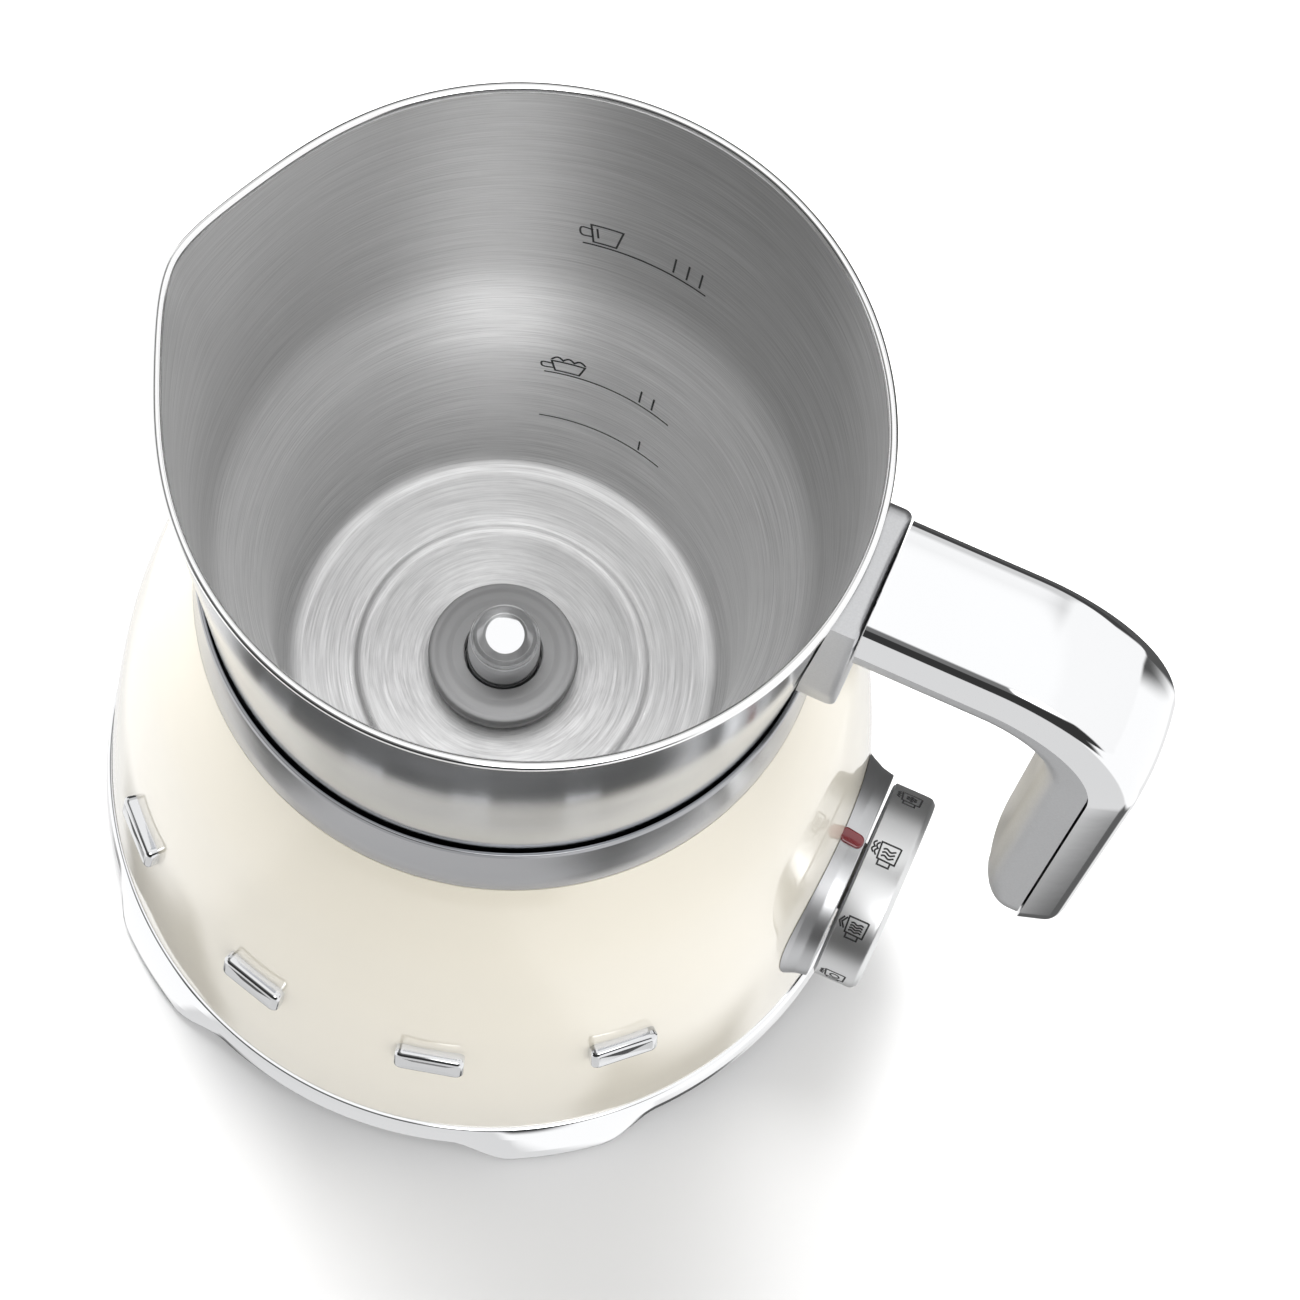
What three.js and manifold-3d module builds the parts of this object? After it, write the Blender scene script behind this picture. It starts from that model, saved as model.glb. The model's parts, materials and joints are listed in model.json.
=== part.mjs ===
// Milk frother: an induction base with a lift-off steel jug, a magnetically driven stirring disc,
// a programme dial with a start button, and four plain trim bars on the front.
// Millimetres. +Z up, origin on the jug's axis at the surface the base stands on.
// +X: handle and dial. -X: pouring spout. -Y: front. +Y: level marks inside the jug.
import * as THREE from "three";
import { mergeVertices } from "three/addons/utils/BufferGeometryUtils.js";
import Module from "manifold-3d";

const wasm = await Module();
wasm.setup();

// ---------------------------------------------------------------- driving dimensions
const GAP = 0.3; // clearance between neighbouring pieces
const SEG = 36; // segments of the large turned pieces
const RIM_Z = 186.5; // height of the jug's rim
const RIM_R = 57.0; // outer radius of the rim
const WALL = 0.8; // jug wall
const FLOOR_Z = 71.0; // jug floor, inside, at its edge
const SHOULDER_Z = 113.0; // where the narrow lower wall ends
const LOWER_R = 42.2; // inner radius of the lower wall at the shoulder
const COLLAR_TOP = 127.0;
const COLLAR_BOTTOM = 110.3;
const SHELL_TOP = 110.0;
const SHELL_TOP_R = 54.5;
const SHELL_BOTTOM = 12.8;
const SHELL_BOTTOM_R = 74.5;
const SHELL_WALL = 2.6;
const FOOT_AZ = [-56, -124, 124, 56]; // azimuths of the four feet, degrees
const DIAL_Z = 36.2; // height of the dial's axis
const DIAL_R = 19.6;
const DIAL_X0 = 74.5; // back of the knob
const DIAL_X1 = 83.4; // front of the knob
const BAR_AZ = [-133, -104.3, -75.7, -47]; // azimuths of the trim bars
const BAR_Z = 51.0;
const HANDLE_TOP = 186.0; // top of the handle's outer shell
const HANDLE_OUT = 110.5; // farthest reach of the handle
const HANDLE_HALF_W = 12.0;
const PIN_TOP = 86.0;

const rad = (d) => (d * Math.PI) / 180;
const group = new THREE.Group();

// ---------------------------------------------------------------- finishes
const finish = (color, metalness, roughness) => new THREE.MeshStandardMaterial({ color, metalness, roughness });
const M = {
  steel: finish(0xc9c9c9, 1, 0.3),
  chrome: finish(0xd6d7d9, 1, 0.12),
  satin: finish(0x9a9b9d, 0.6, 0.4),
  cream: finish(0xefe9d2, 0, 0.15),
  black: finish(0x1c1c1e, 0, 0.6),
  rubber: finish(0x222222, 0, 0.85),
  grey: finish(0x8c8c8c, 0, 0.45),
  red: finish(0x7a1016, 0, 0.3),
  copper: finish(0xb06a3a, 1, 0.35),
  zinc: finish(0xa5a7a8, 0.9, 0.4),
  ferrite: finish(0x33302e, 0, 0.7),
  board: finish(0x1f5a34, 0, 0.5),
  white: finish(0xdddcd4, 0, 0.5),
};

// ---------------------------------------------------------------- geometry helpers
// A closed mesh from points and faces; it is turned inside out if its volume is negative.
function solidGeometry(verts, faces) {
  let v6 = 0;
  for (const [a, b, c] of faces) {
    const p = verts[a], q = verts[b], r = verts[c];
    v6 += p[0] * (q[1] * r[2] - q[2] * r[1]) + p[1] * (q[2] * r[0] - q[0] * r[2]) + p[2] * (q[0] * r[1] - q[1] * r[0]);
  }
  const idx = [];
  for (const [a, b, c] of faces) v6 < 0 ? idx.push(a, c, b) : idx.push(a, b, c);
  const g = new THREE.BufferGeometry();
  g.setAttribute("position", new THREE.Float32BufferAttribute(verts.flat(), 3));
  g.setIndex(idx);
  return g;
}
// Turns a closed profile of [r, z] about the Z axis. Points with r = 0 become poles.
// shape(r, z, angle) may move each point and returns [r, z].
function revolve(profile, seg = SEG, shape = null) {
  const verts = [], ring = [], faces = [];
  for (const [r, z] of profile) {
    if (r < 1e-6) {
      verts.push([0, 0, z]);
      ring.push([verts.length - 1]);
      continue;
    }
    const ids = [];
    for (let j = 0; j < seg; j++) {
      const a = (2 * Math.PI * j) / seg;
      const [rr, zz] = shape ? shape(r, z, a) : [r, z];
      verts.push([rr * Math.cos(a), rr * Math.sin(a), zz]);
      ids.push(verts.length - 1);
    }
    ring.push(ids);
  }
  for (let i = 0; i < profile.length; i++) {
    const A = ring[i], B = ring[(i + 1) % profile.length];
    if (A.length === 1 && B.length === 1) continue;
    for (let j = 0; j < seg; j++) {
      const k = (j + 1) % seg;
      if (A.length === 1) faces.push([A[0], B[k], B[j]]);
      else if (B.length === 1) faces.push([A[j], A[k], B[0]]);
      else faces.push([A[j], A[k], B[k]], [A[j], B[k], B[j]]);
    }
  }
  return solidGeometry(verts, faces);
}
// Joins rings of points with the same count into one closed body with flat ends.
function loft(rings) {
  const n = rings[0].length, verts = rings.flat(), faces = [];
  for (let i = 0; i + 1 < rings.length; i++)
    for (let j = 0; j < n; j++) {
      const k = (j + 1) % n, a = i * n, b = a + n;
      faces.push([a + j, a + k, b + k], [a + j, b + k, b + j]);
    }
  const last = (rings.length - 1) * n;
  const centre = (r) => r.reduce((s, p) => [s[0] + p[0] / n, s[1] + p[1] / n, s[2] + p[2] / n], [0, 0, 0]);
  verts.push(centre(rings[0]), centre(rings[rings.length - 1]));
  for (let j = 0; j < n; j++) {
    const k = (j + 1) % n;
    faces.push([k, j, verts.length - 2], [last + j, last + k, verts.length - 1]);
  }
  return solidGeometry(verts, faces);
}
const rod = (r, h, seg = 20) => revolve([[0, 0], [r, 0], [r, h], [0, h]], seg);
const tube = (ro, ri, h, seg = 24) => revolve([[ro, 0], [ro, h], [ri, h], [ri, 0]], seg);
const box = (w, d, h) => new THREE.BoxGeometry(w, d, h);
const moved = (g, x, y, z) => g.clone().translate(x, y, z);
const alongX = (g) => g.clone().rotateY(Math.PI / 2); // +Z of the piece becomes +X
const atAzimuth = (g, deg) => g.clone().rotateZ(rad(deg));

function toSolid(geometry) {
  const g = geometry.index ? geometry.toNonIndexed() : geometry.clone();
  const p = new THREE.BufferGeometry().setAttribute("position", g.getAttribute("position"));
  const m = mergeVertices(p, 1e-3);
  return new wasm.Manifold(
    new wasm.Mesh({ numProp: 3, vertProperties: m.attributes.position.array, triVerts: new Uint32Array(m.index.array) }),
  );
}
function toGeometry(solid) {
  const m = solid.getMesh(), g = new THREE.BufferGeometry();
  const xyz = new Float32Array((m.vertProperties.length / m.numProp) * 3);
  for (let i = 0; i < xyz.length / 3; i++)
    for (let k = 0; k < 3; k++) xyz[3 * i + k] = m.vertProperties[i * m.numProp + k];
  g.setAttribute("position", new THREE.BufferAttribute(xyz, 3));
  g.setIndex(new THREE.BufferAttribute(new Uint32Array(m.triVerts), 1));
  return g;
}
const cut = (a, ...bs) => toGeometry(bs.reduce((s, b) => s.subtract(toSolid(b)), toSolid(a)));
const join = (a, ...bs) => toGeometry(bs.reduce((s, b) => s.add(toSolid(b)), toSolid(a)));

function add(name, geometry, material, position = [0, 0, 0], rotation = [0, 0, 0]) {
  const g = geometry.index ? geometry : mergeVertices(geometry);
  g.computeVertexNormals();
  const mesh = new THREE.Mesh(g, material);
  mesh.name = name;
  mesh.position.set(...position);
  mesh.rotation.set(...rotation);
  group.add(mesh);
  return mesh;
}
const smooth = (a, b, x) => {
  const t = Math.min(1, Math.max(0, (x - a) / (b - a)));
  return t * t * (3 - 2 * t);
};

// ---------------------------------------------------------------- jug
// The spout is pressed out of the rim on -X and fades into the wall below it.
const spoutLift = (a, z) => {
  const d = Math.abs(Math.atan2(Math.sin(a - Math.PI), Math.cos(a - Math.PI)));
  const width = rad(6 + 8 * smooth(150, RIM_Z, z));
  return 4.0 * Math.exp(-Math.pow(d / width, 1.7)) * smooth(148, RIM_Z, z);
};
const jugInner = [
  [RIM_R - WALL, RIM_Z - 0.2], [54.6, 166.0], [53.3, 150.0], [51.7, 129.0], [50.7, 124.6],
  [46.6, 118.8], [43.0, 115.2], [LOWER_R, SHOULDER_Z], [41.5, 88.0], [41.1, 76.0],
  [39.3, FLOOR_Z], [37.0, 70.4], [26.6, 69.9], [24.9, 69.2], [6.4, 69.2],
];
const jugOuter = [
  [6.4, 68.3], [25.0, 68.3], [26.9, 69.0], [37.4, 69.5], [40.0, 70.2], [42.0, 75.6], [42.4, 88.0],
  [LOWER_R + 0.9, 112.8], [43.9, 114.6], [47.5, 118.1], [51.6, 124.1], [52.6, 129.0],
  [54.1, 150.0], [55.4, 166.0], [56.4, 182.5], [RIM_R, 184.6], [RIM_R, 186.0], [56.7, RIM_Z],
];
add("jug_body", revolve([...jugInner, ...jugOuter], 40, (r, z, a) => [r + spoutLift(a, z), z]), M.steel);
// Pivot pin: a spun steel post with a domed top, pressed through the middle of the jug's floor.
add("pivot_pin", revolve([
  [0, 68.4], [5.9, 68.4], [5.9, 69.7], [6.75, 69.7], [6.7, 76.0], [6.1, 83.6], [5.7, 84.9], [4.9, 85.6], [3.2, PIN_TOP], [0, PIN_TOP + 0.1],
], 20), M.chrome);

// ---------------------------------------------------------------- stirring disc on its bush
add("disc_bush", revolve([[7.0, 70.2], [8.3, 70.2], [8.3, 71.0], [7.9, 71.2], [7.9, 74.3], [7.0, 74.3]], 24), M.black);
add("stirring_disc", revolve([
  [8.2, 71.6], [8.2, 74.6], [7.15, 74.6], [7.15, 75.4], [9.2, 75.1], [10.6, 74.5], [11.6, 74.6], [12.6, 75.0], [13.3, 74.7], [13.6, 73.9],
  [13.5, 71.6], [13.0, 70.9], [12.2, 70.7], [9.0, 70.7], [8.7, 71.3],
], 24), M.grey);

// ---------------------------------------------------------------- handle
const BRACKET_X = 60.0;
{
  const s = new THREE.Shape();
  s.moveTo(-9.0, 185.0);
  s.lineTo(9.0, 185.0);
  s.quadraticCurveTo(HANDLE_HALF_W, 184.6, HANDLE_HALF_W, 181.0);
  s.lineTo(HANDLE_HALF_W, 160.0);
  s.bezierCurveTo(HANDLE_HALF_W, 150, 9.0, 137, 0, 137);
  s.bezierCurveTo(-9.0, 137, -HANDLE_HALF_W, 150, -HANDLE_HALF_W, 160.0);
  s.lineTo(-HANDLE_HALF_W, 181.0);
  s.quadraticCurveTo(-HANDLE_HALF_W, 184.6, -9.0, 185.0);
  const plate = new THREE.ExtrudeGeometry(s, { depth: 14, bevelEnabled: false, curveSegments: 6 });
  // shape x -> Y, shape y -> Z, extrusion -> X
  plate.applyMatrix4(new THREE.Matrix4().set(0, 0, 1, BRACKET_X - 14, 1, 0, 0, 0, 0, 1, 0, 0, 0, 0, 0, 1));
  plate.deleteAttribute("normal");
  plate.deleteAttribute("uv");
  const clear = revolve([[0, 120], [52.1 + GAP, 124.6], [52.9 + GAP, 129], [53.5 + GAP, 138], [54.4 + GAP, 150], [55.7 + GAP, 166],
    [56.8 + GAP, 182.5], [57.3 + GAP, 184.6], [57.3 + GAP, 190], [0, 190]], 40);
  const hole = moved(alongX(rod(2.1, 20, 12)), 44, 0, 173);
  add("handle_bracket", cut(plate, clear, hole), M.satin);
}
// The centre line of the handle runs out, bends down and ends free. The outer shell lies outside it, the grip inside.
const HC = { x: 82, z: 157.5, r: 21 }; // centre and radius of the bend on the parting line
const path = [];
for (const x of [BRACKET_X + 0.4, 67, 75, HC.x]) path.push({ x, z: HC.z + HC.r, n: Math.PI / 2, s: x });
for (let i = 1; i <= 8; i++) {
  const a = Math.PI / 2 - (Math.PI / 2) * (i / 8);
  path.push({ x: HC.x + HC.r * Math.cos(a), z: HC.z + HC.r * Math.sin(a), n: a });
}
for (const z of [140, 124, 110, 104, 99, 95, 91.5, 88.5, 86.3, 85.0]) path.push({ x: HC.x + HC.r, z, n: 0 });
const tipFade = (z, len) => (z > 85 + len ? 1 : Math.sqrt(Math.max(0, 1 - Math.pow((85 + len - z) / len, 2))));
const handleSections = (offsets) =>
  path.map((p) => {
    const low = p.n === 0;
    return offsets(low ? p.z : 200).map(([u, v]) => [p.x + v * Math.cos(p.n), u, p.z + v * Math.sin(p.n)]);
  });
const W = HANDLE_HALF_W;
const shellSection = (z) => {
  const f = 0.12 + 0.88 * tipFade(z, 11), w = W * (0.55 + 0.45 * tipFade(z, 9)), t = (HANDLE_TOP - HC.z - HC.r) * f;
  return [[-w, 0], [w, 0], [w, t * 0.42], [w * 0.93, t * 0.72], [w * 0.78, t * 0.9], [w * 0.4, t * 0.985], [0, t],
    [-w * 0.4, t * 0.985], [-w * 0.78, t * 0.9], [-w * 0.93, t * 0.72], [-w, t * 0.42]];
};
const gripSection = (z) => {
  const f = 0.1 + 0.9 * tipFade(z, 21), w = (W - 1.0) * (0.55 + 0.45 * tipFade(z, 9)), t = -9.6 * f;
  return [[-w, -GAP], [w, -GAP], [w, -GAP + t * 0.45], [w * 0.86, -GAP + t * 0.84], [w * 0.55, -GAP + t * 0.98], [0, -GAP + t],
    [-w * 0.55, -GAP + t * 0.98], [-w * 0.86, -GAP + t * 0.84], [-w, -GAP + t * 0.45]];
};
const boltRoom = moved(alongX(rod(2.2, 12, 12)), BRACKET_X, 0, 173);
add("handle_shell", loft(handleSections(shellSection)), M.chrome);
add("handle_grip", cut(loft(handleSections(gripSection)), boltRoom), M.satin);
// Bolt that holds the grip's root against the bracket; its head sits against the jug wall.
add("handle_bolt", moved(alongX(rod(1.8, 13.0, 12)), 57.6, 0, 173), M.zinc);

// ---------------------------------------------------------------- base: housing
const shellOuter = [
  [SHELL_TOP_R, SHELL_TOP], [56.9, 105.0], [59.2, 99.6], [62.9, 89.0], [66.2, 75.0],
  [69.0, 60.8], [71.2, 45.5], [73.0, 29.5], [74.0, 18.5], [SHELL_BOTTOM_R, SHELL_BOTTOM],
];
const shellInner = shellOuter.filter((_, i) => i > 0 && i % 2 === 1).reverse().map(([r, z]) => [r - SHELL_WALL, Math.min(z, 106.4)]);
const shell = revolve([...shellOuter, ...shellInner, [54.0, 107.4], [50.4, 107.4], [50.4, SHELL_TOP]]);
const dialOpening = moved(alongX(rod(17.0, 40, 32)), 55, 0, DIAL_Z);
const glandOpening = atAzimuth(moved(alongX(rod(4.6, 20, 24)), 64, 0, 26), 90);
add("body_shell", cut(shell, dialOpening, glandOpening), M.cream);
add("collar_ring", revolve([
  [54.5, COLLAR_BOTTOM], [54.1, 116.0], [53.75, 122.0], [53.6, 126.4], [53.4, COLLAR_TOP], [53.0, COLLAR_TOP],
  [52.85, 126.5], [52.75, 120.0], [52.75, 115.6], [53.35, 114.0], [53.35, COLLAR_BOTTOM],
], 60), M.chrome);
// Plinth: its lower edge arches between four feet, which stand out slightly.
const footNear = (a) => Math.max(...FOOT_AZ.map((f) => {
  const d = Math.abs(Math.atan2(Math.sin(a - rad(f)), Math.cos(a - rad(f))));
  return 1 - smooth(rad(7), rad(15), d);
}));
add("plinth_ring", revolve([
  [74.2, 12.3], [75.0, 12.0], [75.4, 10.0], [75.8, 7.0], [76.0, 4.6], [75.4, 4.2], [72.6, 4.2], [72.2, 4.8], [71.9, 12.3],
], 72, (r, z, a) => {
  const f = footNear(a), low = 1 - smooth(4.2, 12, z), out = r > 74 ? 1 : 0;
  return [r + 2.4 * f * out * Math.pow(low, 0.6), z - 3.3 * f * (z < 5 ? 1 : low)];
}), M.chrome);
const plate = revolve([[0, 1.0], [69.0, 1.0], [69.6, 1.6], [69.6, 6.0], [67.6, 6.0], [67.6, 3.4], [0, 3.4]]);
const plateHoles = FOOT_AZ.map((a) => atAzimuth(moved(rod(1.9, 4, 12), 52, 0, 0.5), a));
const footPockets = FOOT_AZ.map((a) => atAzimuth(moved(rod(7.3, 1.9, 16), 60.5, 0, 0.5), a));
add("base_plate", cut(plate, ...plateHoles, ...footPockets), M.black);
FOOT_AZ.forEach((a, i) => {
  const at = [60.5 * Math.cos(rad(a)), 60.5 * Math.sin(rad(a))];
  add(`rubber_foot_${i + 1}`, revolve([[0, 0], [6.2, 0], [6.9, 0.7], [6.9, 2.1], [0, 2.1]], 16), M.rubber, [at[0], at[1], 0]);
  const sc = [52 * Math.cos(rad(a)), 52 * Math.sin(rad(a))];
  add(`base_screw_${i + 1}`, revolve([[0, 3.7], [3.0, 3.7], [3.0, 4.7], [1.5, 4.9], [1.5, 10.2], [0, 10.2]], 12), M.zinc, [sc[0], sc[1], 0]);
});
// Four plain rounded bars stand out of the front of the housing.
{
  const s = new THREE.Shape(), w = 6.3, h = 3.6, c = 1.5;
  s.moveTo(-w + c, -h);
  s.lineTo(w - c, -h);
  s.quadraticCurveTo(w, -h, w, -h + c);
  s.lineTo(w, h - c);
  s.quadraticCurveTo(w, h, w - c, h);
  s.lineTo(-w + c, h);
  s.quadraticCurveTo(-w, h, -w, h - c);
  s.lineTo(-w, -h + c);
  s.quadraticCurveTo(-w, -h, -w + c, -h);
  const bar = new THREE.ExtrudeGeometry(s, { depth: 9, bevelEnabled: false, curveSegments: 4 });
  bar.applyMatrix4(new THREE.Matrix4().set(0, 0, 1, 64, 1, 0, 0, 0, 0, 1, 0, BAR_Z, 0, 0, 0, 1));
  bar.deleteAttribute("normal");
  bar.deleteAttribute("uv");
  const cleared = shellOuter.map(([r, z]) => [r + GAP, z]);
  const body = revolve([[0, SHELL_TOP], ...cleared, [0, SHELL_BOTTOM]], 96);
  BAR_AZ.forEach((a, i) => add(`trim_bar_${i + 1}`, cut(atAzimuth(bar, a), body), M.chrome));
}

// ---------------------------------------------------------------- base: the bowl the jug stands in
add("jug_cradle", revolve([
  [53.0, 113.3], [53.0, 111.6], [49.2, 111.2], [46.9, 109.4], [46.4, 66.0], [44.0, 64.4], [6.0, 64.4], [6.0, 67.0], [42.6, 67.0],
  [44.4, 68.6], [44.7, 109.9], [47.0, 112.4],
]), M.black);
add("temperature_probe", revolve([
  [0, 62.0], [3.0, 62.0], [3.0, 63.2], [4.6, 63.2], [4.6, 64.2], [5.4, 64.2], [5.4, 66.8], [4.6, 67.9], [0, 68.0],
].filter(([r, z]) => !(r === 4.6 && z < 65)), 16), M.zinc);
add("probe_spring", tube(2.9, 2.0, 5.7, 14), M.zinc, [0, 0, 56.0]);
add("probe_holder", join(tube(4.6, 3.4, 5.4, 16), moved(tube(4.6, 1.2, 1.0, 16), 0, 0, -1.0)), M.white, [0, 0, 56.0]);

// ---------------------------------------------------------------- base: induction heater
add("coil_former", revolve([
  [43.0, 57.2], [43.0, 63.6], [41.6, 63.6], [41.6, 58.6], [13.0, 58.6], [13.0, 63.6], [11.6, 63.6], [11.6, 57.2],
], 28), M.white);
add("induction_coil", revolve([[40.6, 59.0], [40.6, 62.2], [15.0, 62.2], [15.0, 59.0]], 28), M.copper);
for (let i = 0; i < 4; i++)
  add(`ferrite_bar_${i + 1}`, box(24, 8, 4.4), M.ferrite, [28 * Math.cos(rad(45 + 90 * i)), 28 * Math.sin(rad(45 + 90 * i)), 54.6], [0, 0, rad(45 + 90 * i)]);

// ---------------------------------------------------------------- base: motor and magnetic drive
// The magnet carrier turns around the probe holder under the coil's open middle.
add("magnet_carrier", revolve([
  [5.2, 53.2], [10.8, 53.2], [10.8, 62.6], [5.2, 62.6],
  [5.2, 54.0],
].slice(0, 4), 24), M.white);
add("drive_magnet_1", box(3.6, 8, 1.2), M.zinc, [8.0, 0, 63.5]);
add("drive_magnet_2", box(3.6, 8, 1.2), M.zinc, [-8.0, 0, 63.5]);
add("drive_pulley", revolve([[5.2, 46.0], [14.0, 46.0], [14.0, 47.2], [13.0, 48.4], [13.0, 49.6], [14.0, 50.8], [14.0, 52.0], [10.8, 52.9], [5.2, 52.9]], 24), M.white);
add("carrier_post", revolve([[0, 36.4], [9.0, 36.4], [9.0, 38.6], [4.4, 39.6], [4.4, 54.6], [0, 54.6]], 20), M.zinc);
add("drive_bearing", tube(8.6, 4.7, 5.0, 20), M.zinc, [0, 0, 40.2]);
const MOTOR = [-33, 0];
add("motor_can", join(rod(15.5, 26, 24), moved(rod(5.5, 1.6, 16), 0, 0, 26)), M.zinc, [MOTOR[0], MOTOR[1], 12.4]);
add("motor_shaft", rod(1.5, 10.4, 16), M.zinc, [MOTOR[0], MOTOR[1], 40.3]);
add("motor_pulley", revolve([[1.8, 45.9], [6.0, 45.9], [6.0, 47.1], [5.2, 48.3], [5.2, 49.5], [6.0, 50.7], [6.0, 51.9], [1.8, 51.9]], 16), M.white, [MOTOR[0], MOTOR[1], 0]);
{
  const bracket = join(moved(box(80, 38, 2.4), -15, 0, 35.0), moved(box(6, 38, 27), -52, 0, 22.7), moved(box(6, 38, 27), 22, 0, 22.7));
  add("motor_bracket", cut(bracket, moved(rod(15.9, 60, 32), MOTOR[0], MOTOR[1], 0)), M.zinc);
  for (const [i, x] of [[0, -52], [1, 22]]) add(`bracket_screw_${i + 1}`, revolve([[0, 3.7], [3, 3.7], [3, 5.2], [1.6, 5.4], [1.6, 8.9], [0, 8.9]], 12), M.zinc, [x, 9, 0]);
}
// Round belt from the motor's pulley to the drive pulley.
{
  const a = { x: MOTOR[0], r: 6.5 }, b = { x: 0, r: 14.3 }, outline = (grow) => {
    const d = b.x - a.x, al = Math.acos((a.r - b.r) / d), pts = [];
    for (let i = 0; i <= 12; i++) {
      const t = al + ((2 * Math.PI - 2 * al) * i) / 12;
      pts.push(new THREE.Vector2(a.x + (a.r + grow) * Math.cos(t), (a.r + grow) * Math.sin(t)));
    }
    for (let i = 0; i <= 16; i++) {
      const t = -al + (2 * al * i) / 16;
      pts.push(new THREE.Vector2(b.x + (b.r + grow) * Math.cos(t), (b.r + grow) * Math.sin(t)));
    }
    return pts;
  };
  const s = new THREE.Shape(outline(1.8));
  s.holes.push(new THREE.Path(outline(0)));
  const belt = new THREE.ExtrudeGeometry(s, { depth: 1.8, bevelEnabled: false });
  belt.deleteAttribute("normal");
  belt.deleteAttribute("uv");
  add("drive_belt", belt, M.rubber, [0, 0, 48.0]);
}

// ---------------------------------------------------------------- base: electronics
add("power_board", box(30, 70, 1.6), M.board, [43, 0, 9.4]);
add("filter_choke", box(16, 14, 14), M.black, [42, 26, 17.6]);
add("capacitor_1", rod(6.2, 17, 24), M.black, [40, -26, 10.6]);
add("heat_sink", box(6, 26, 18), M.satin, [32, -4, 19.6]);

// ---------------------------------------------------------------- dial and start button on +X
add("dial_bezel", (() => {
  // Trumpet ring: a narrow front ring that flares back onto the housing.
  const ring = alongX(revolve([[20.8, 0], [20.8, -0.8], [21.2, -2.4], [22.2, -4.6], [23.6, -7.2], [25.2, -10.4], [25.6, -16], [17.6, -16], [17.6, 0]], 32));
  ring.translate(DIAL_X0 - 0.6, 0, DIAL_Z);
  const cleared = shellOuter.map(([r, z]) => [r + GAP, z]);
  const body = revolve([[0, SHELL_TOP], ...cleared, [0, SHELL_BOTTOM]], 96);
  const plinthRoom = revolve([[0, 13.0], [90, 13.0], [90, -2], [0, -2]], 48);
  const markRoom = moved(box(3.6, 3.4, 3.0), DIAL_X0 - 2.6, 0, DIAL_Z + 21.4);
  return cut(ring, body, plinthRoom, markRoom);
})(), M.chrome);
add("indicator_mark", (() => {
  const m = moved(box(3.0, 2.8, 1.9), DIAL_X0 - 2.6, 0, DIAL_Z + 21.2);
  m.deleteAttribute("normal");
  m.deleteAttribute("uv");
  return m;
})(), M.red);
add("dial_knob", (() => {
  const k = revolve([
    [7.2, 0], [DIAL_R - 0.6, 0], [DIAL_R - 0.1, 0.5], [DIAL_R, 1.0], [DIAL_R, 7.4], [DIAL_R - 0.5, 8.4], [DIAL_R - 1.6, 8.9],
    [16.0, 8.9], [15.4, 8.3], [15.4, 3.0], [7.2, 3.0],
  ], 32);
  return moved(alongX(k), DIAL_X0, 0, DIAL_Z);
})(), M.chrome);
add("dial_spindle", moved(alongX(tube(6.8, 4.6, 19, 20)), DIAL_X0 - 17.6, 0, DIAL_Z), M.white);
add("dial_encoder", (() => cut(moved(box(6, 24, 24), 52.8, 0, DIAL_Z), moved(alongX(rod(4.4, 10, 12)), 48, 0, DIAL_Z)))(), M.board);
add("start_button", moved(alongX(revolve([[0, 0], [6.6, 0], [6.6, 1.0], [14.9, 1.3], [14.9, 3.6], [14.2, 4.4], [0, 4.9]], 32)), DIAL_X0 + 3.4, 0, DIAL_Z), M.satin);
add("button_plunger", moved(alongX(rod(3.8, 10.9, 16)), DIAL_X0 - 7.9, 0, DIAL_Z), M.white);
add("button_spring", moved(alongX(tube(3.6, 2.6, 8.7, 14)), DIAL_X0 - 17.9, 0, DIAL_Z), M.zinc);

// ---------------------------------------------------------------- cord inlet at the back
add("cord_gland", (() => {
  const g = revolve([[3.6, -4], [7.0, -4], [7.0, -1.4], [4.3, -1.0], [4.3, 4.4], [7.2, 5.2], [7.2, 6.6], [6.2, 7.6], [3.6, 7.8]], 16);
  const r = g.clone().rotateX(-Math.PI / 2); // +Z of the piece becomes +Y
  return moved(r, 0, 69.8, 26);
})(), M.rubber);

export default group;
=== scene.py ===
import json
import math

import bmesh
import bpy
import numpy as np
from mathutils import Matrix, Vector


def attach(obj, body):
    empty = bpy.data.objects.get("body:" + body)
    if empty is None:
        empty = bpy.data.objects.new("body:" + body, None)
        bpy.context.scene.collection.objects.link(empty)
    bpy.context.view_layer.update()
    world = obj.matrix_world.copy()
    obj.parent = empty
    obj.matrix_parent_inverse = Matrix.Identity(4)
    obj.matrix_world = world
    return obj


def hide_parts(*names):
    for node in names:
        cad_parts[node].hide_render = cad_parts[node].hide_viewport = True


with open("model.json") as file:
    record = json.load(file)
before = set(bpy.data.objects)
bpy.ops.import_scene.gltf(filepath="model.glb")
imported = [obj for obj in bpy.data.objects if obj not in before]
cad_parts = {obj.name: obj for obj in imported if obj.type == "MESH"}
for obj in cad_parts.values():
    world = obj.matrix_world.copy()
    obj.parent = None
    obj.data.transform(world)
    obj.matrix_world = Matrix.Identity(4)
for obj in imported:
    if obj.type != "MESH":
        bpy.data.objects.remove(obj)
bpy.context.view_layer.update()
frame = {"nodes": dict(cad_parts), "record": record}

NODES = frame["nodes"]
MM = 0.001
rad = math.radians


def smooth(a, b, x):
    t = min(1.0, max(0.0, (x - a) / (b - a)))
    return t * t * (3 - 2 * t)


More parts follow.
